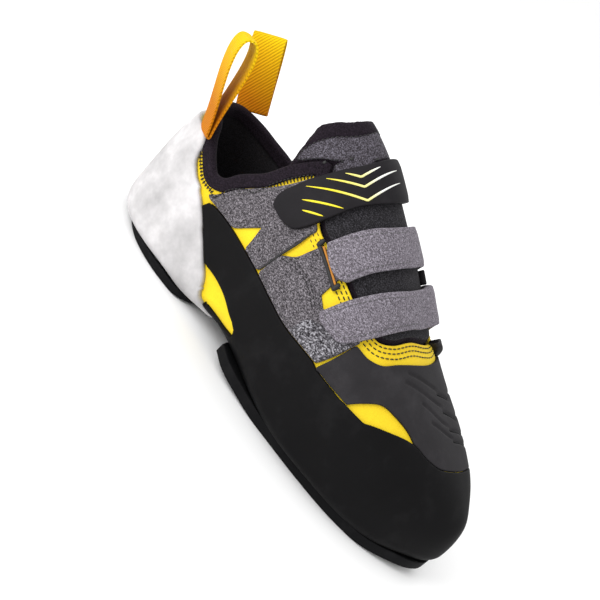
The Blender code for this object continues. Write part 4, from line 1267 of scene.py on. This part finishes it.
def make_binding():
    """Stretch binding folded over the collar's edge, and the seam below it."""
    line = max(level_lines(OPENING, 0.0, length_at(BINDING_END) - X), key=len)
    station, turn, points = resample(line, 0.0012, 0.0)
    normals = outward(station, turn)
    down = downhill(points, normals)
    rows = walk(station, turn, down, BINDING_STEP, BINDING_STEPS)
    outer_leg = [form_point(s, t, BINDING_FACE * ease((BINDING_STEPS - k + 0.5) / 1.2))
                 for k, (s, t) in enumerate(rows)][::-1]
    inner_leg = [form_point(s, t, -BINDING_INSIDE) for s, t in rows]
    half = (BINDING_FACE + BINDING_INSIDE) / 2
    base = form_point(station, turn, (BINDING_FACE - BINDING_INSIDE) / 2)
    roll = [base + normals * half * cos(angle) - down * half * 0.75 * sin(angle)
            for angle in np.linspace(0, pi, 9)[1:-1]]
    profile = np.stack(outer_leg + roll + inner_leg)
    high, wide = profile.shape[:2]
    faces = squares(high, wide, wrap_rows=True, wrap_columns=False)
    faces.append(tuple(i * wide for i in range(high)))
    faces.append(tuple(i * wide + wide - 1 for i in range(high))[::-1])
    piece = mesh_object("collar_roll", profile.reshape(-1, 3), faces, [DARK_KNIT])
    dress(piece, "collar_binding", "collar_binding")
    ticks = []
    shown = np.minimum(length_at(0.30) - X, -THROAT - 0.001)
    for edge in level_lines(OPENING, -BINDING_STEP * BINDING_STEPS - 0.0004, shown):
        station, turn, points = resample(edge, OVERLOCK_PITCH, 0.0003)
        normals = outward(station, turn)
        for point, way, normal in zip(points, downhill(points, normals), normals):
            ticks.append(stitch(point - way * 0.0004, point + way * 0.0018, normal, OVERLOCK_RADIUS))
        ticks += stitch_line([edge], BINDING_FACE + 0.0001, COLLAR_STITCH)
    trim("collar_stitches", "collar_binding", ticks, BLACK_THREAD)


def underside(depth):
    """Tree of the form at a depth, to find its height above a point of the ground."""
    corners = form_point(GRID_S, GRID_T, depth).reshape(-1, 3)
    middle = [corners[:COLUMNS].mean(axis=0), corners[-COLUMNS:].mean(axis=0)]
    return BVHTree.FromPolygons(np.concatenate([corners, middle]).tolist(), TRIANGLES[1].tolist())


def make_sole(name, outline, height, slot, above_it):
    """Rubber slab with rounded edges whose underside follows the ground."""
    tree = underside(above_it)
    table = np.array(outline)
    left = [(length_at(a), o * BALL_WIDTH) for a, o, _ in table]
    right = [(length_at(a), i * BALL_WIDTH) for a, _, i in table[::-1]]
    loop = smooth_outline(left + right, corner=60, spacing=0.0015)
    ahead = unit(np.roll(loop, -1, axis=0) - np.roll(loop, 1, axis=0))
    inward = np.stack([-ahead[:, 1], ahead[:, 0]], -1)
    spine = np.stack([loop[:, 0], np.interp(loop[:, 0], length_at(table[:, 0]),
                                            (table[:, 1] + table[:, 2]) / 2 * BALL_WIDTH)], -1)
    rows = []
    r = SOLE_EDGE_ROUND
    for angle in np.linspace(0, pi / 2, 5):
        rows.append((loop + inward * r * (1 - sin(angle)), height - r * (1 - cos(angle)) * 0.6))
    for angle in np.linspace(0, pi / 2, 6):
        rows.append((loop + inward * r * (1 - cos(angle)), r * (1 - sin(angle))))
    inner = rows[-1][0]
    for share in (0.15, 0.35, 0.6, 0.85, 1.0):
        rows.append((inner * (1 - share) + spine * share, 0.0))
    corners = [np.stack([p[:, 0], p[:, 1], ground(p[:, 0]) + h], -1) for p, h in rows]
    for share in (0.04, 0.08, 0.14, 0.22, 0.35, 0.5, 0.7, 0.9, 1.0):
        top = loop * (1 - share) + spine * share
        corners.insert(0, np.stack([top[:, 0], top[:, 1], ground(top[:, 0]) + height], -1))
    for line in corners[:10]:
        for point in line:
            hit = tree.ray_cast(Vector((point[0], point[1], -0.01)), Vector((0, 0, 1)))[0]
            if hit is not None:
                point[2] = max(min(point[2], hit.z), ground(point[0]) + 0.002)
    faces = squares(len(corners), len(loop), flip=True)
    piece = mesh_object(name + "_rubber", np.concatenate(corners), faces, [SOLE_RUBBER])
    dress(piece, slot, slot)


def make_insole():
    """Board inside the shoe."""
    rows, columns = 120, 25
    stations = station_at(np.linspace(length_at(INSOLE_START), length_at(INSOLE_END), rows))
    shares = np.linspace(0, 1, columns)
    outer = column("outer", stations)[:, None] + INSOLE_INSET
    inner = column("inner", stations)[:, None] - INSOLE_INSET
    y = outer * (1 - shares) + inner * shares
    x = np.broadcast_to(length_of(stations)[:, None], y.shape)
    base = ground(x) + STACK + UPPER_WALL + 2 * GAP
    sheets = [np.stack([x, y, base + lift], -1).reshape(-1, 3) for lift in (0.0, INSOLE_THICKNESS)]
    size = rows * columns
    top = squares(rows, columns, wrap_columns=False, flip=True)
    faces = [f[::-1] for f in top] + [tuple(i + size for i in f) for f in top]
    grid = np.arange(size).reshape(rows, columns)
    rim = [*grid[0], *grid[1:, -1], *grid[-1, -2::-1], *grid[-2:0:-1, 0]]
    faces += [(a, b, b + size, a + size) for a, b in zip(rim, rim[1:] + rim[:1])]
    piece = mesh_object("insole_board", np.concatenate(sheets), faces, [BOARD], sharp=40)
    dress(piece, "insole", "insole")


def make_loops():
    """Two pull loops of woven ribbon."""
    steps, cross_steps = 120, 10
    angles = np.linspace(0, 2 * pi, steps, endpoint=False)
    across_shares = np.linspace(-1, 1, cross_steps)
    half_width, half_thick = LOOP_WIDTH / 2, LOOP_THICKNESS / 2
    profile = [(u * half_width, half_thick * (1 - 0.35 * u**8)) for u in across_shares]
    profile += [(u * half_width, -half_thick * (1 - 0.35 * u**8)) for u in across_shares[::-1]]
    for name, loop in LOOPS.items():
        foot, up, across = loop["foot"], Vector(loop["up"]).normalized(), Vector(loop["across"])
        base = Vector((length_at(foot[0]), BALL_WIDTH * foot[1], INSTEP_HEIGHT * foot[2]))
        width = (across - across.dot(up) * up).normalized()
        high = loop["rise"] * (1 - np.cos(angles)) / 2
        belly = np.sin(angles) * np.abs(np.sin(angles / 2)) ** LOOP_PINCH
        side = loop["spread"] * loop["belly"] * belly
        side = side + LOOP_THICKNESS * 0.62 * np.tanh(np.sin(angles) * 8)
        middle = np.array(base) + np.outer(high, up) + np.outer(side, up.cross(width))
        out = np.cross(unit(np.roll(middle, -1, axis=0) - np.roll(middle, 1, axis=0)), width)
        rings = [middle + np.outer(np.full(steps, w), width) + out * h for w, h in profile]
        corners = np.stack(rings, axis=1).reshape(-1, 3)
        run = run_of(middle)
        uv = np.stack([np.repeat(run, len(profile)), np.tile([w for w, _ in profile], steps)], -1)
        faces = squares(steps, len(profile), wrap_rows=True, flip=True)
        piece = mesh_object(name + "_ribbon", corners, faces, [RIBBON], uv, sharp=50)
        dress(piece, name, name)


def make_stitching():
    """Stitch rows round the throat, drawn where the photograph shows them."""
    band = np.minimum(-RAND_LOW - 0.001, -OPEN_COLLAR - 0.010)
    rows = []
    for inset in THROAT_INSETS:
        rows += stitch_line(level_lines(-THROAT, inset, band), 0.0002, THROAT_STITCH)
    trim("throat_stitches", "upper", rows, BLACK_THREAD)


def make_camera():
    """Camera at the photograph's angle to the shoe, rolled as it is there."""
    azimuth, elevation, roll = radians(14), radians(24), radians(46.5)
    distance_to, focal_pixels, image = 0.550, 1133.0, 600
    aim = np.array([0.125, 0.0, 0.050]) + SEAT
    aim_pixel = (333.1, 313.5)
    back = Vector((sin(azimuth) * cos(elevation), -cos(azimuth) * cos(elevation), sin(elevation)))
    right = Vector((cos(azimuth), sin(azimuth), 0))
    up = back.cross(right)
    image_right = right * cos(roll) + up * sin(roll)
    image_up = up * cos(roll) - right * sin(roll)
    data = bpy.data.cameras.new("camera")
    data.sensor_width = 36
    data.lens = focal_pixels / image * data.sensor_width
    data.shift_x = -(aim_pixel[0] - image / 2) / image
    data.shift_y = (aim_pixel[1] - image / 2) / image
    data.clip_start = 0.01
    camera = bpy.data.objects.new("camera", data)
    turned = Matrix((image_right, image_up, back)).transposed().to_4x4()
    camera.matrix_world = Matrix.Translation(Vector(aim) + back * distance_to) @ turned
    bpy.context.scene.collection.objects.link(camera)
    bpy.context.scene.camera = camera
    return image_right, image_up, back


def make_light(name, where, size, power, target):
    """Square soft light that looks at a target."""
    data = bpy.data.lights.new(name, "AREA")
    data.size = size
    data.energy = power
    light = bpy.data.objects.new(name, data)
    light.location = where
    light.rotation_mode = "QUATERNION"
    light.rotation_quaternion = (Vector(target) - Vector(where)).to_track_quat("-Z", "Y")
    bpy.context.scene.collection.objects.link(light)


def make_studio(image_right, image_up, back):
    """Pale floor and soft lights placed by the camera's own axes."""
    floor = bpy.data.meshes.new("floor")
    reach = 6.0
    floor.from_pydata([(-reach, -reach, 0), (reach, -reach, 0), (reach, reach, 0),
                       (-reach, reach, 0)], [], [(0, 1, 2, 3)])
    made, tree, shader = finish("floor", (0.96, 0.96, 0.96), 0.9)
    cloud = noise(tree, place(tree), 3, 2, 0.5)
    paint(tree, shader, cloud, ((0.3, (0.955, 0.955, 0.955)), (0.7, (0.97, 0.97, 0.97))))
    floor.materials.append(made)
    ground_sheet = bpy.data.objects.new("floor", floor)
    bpy.context.scene.collection.objects.link(ground_sheet)
    centre = Vector(np.array([0.12, 0.0, 0.05]) + SEAT)
    make_light("key", centre + image_up * 0.55 + back * 0.6 - image_right * 0.25, 0.6, 5.0, centre)
    make_light("rear", centre + Vector((-0.2, 0.9, 0.8)), 0.8, 3.0, centre)
    world = bpy.data.worlds.new("studio")
    world.use_nodes = True
    world.node_tree.nodes["Background"].inputs["Color"].default_value = (1, 1, 1, 1)
    world.node_tree.nodes["Background"].inputs["Strength"].default_value = 1.04
    bpy.context.scene.world = world
    bpy.context.scene.view_settings.view_transform = "Standard"


make_upper()
make_insole()
make_rand()
make_toe_patch()
make_heel_cup()
make_heel_wrap()
make_quarters()
make_straps()
make_tongue()
make_binding()
make_sole("outsole", OUTSOLE_OUTLINE, SOLE_THICKNESS + SOLE_LIP, "outsole", RAND_FACE + GAP)
make_sole("heel_sole", HEEL_OUTLINE, SOLE_THICKNESS, "heel_sole", CUP_FACE + GAP)
make_loops()
make_stitching()
make_studio(*make_camera())
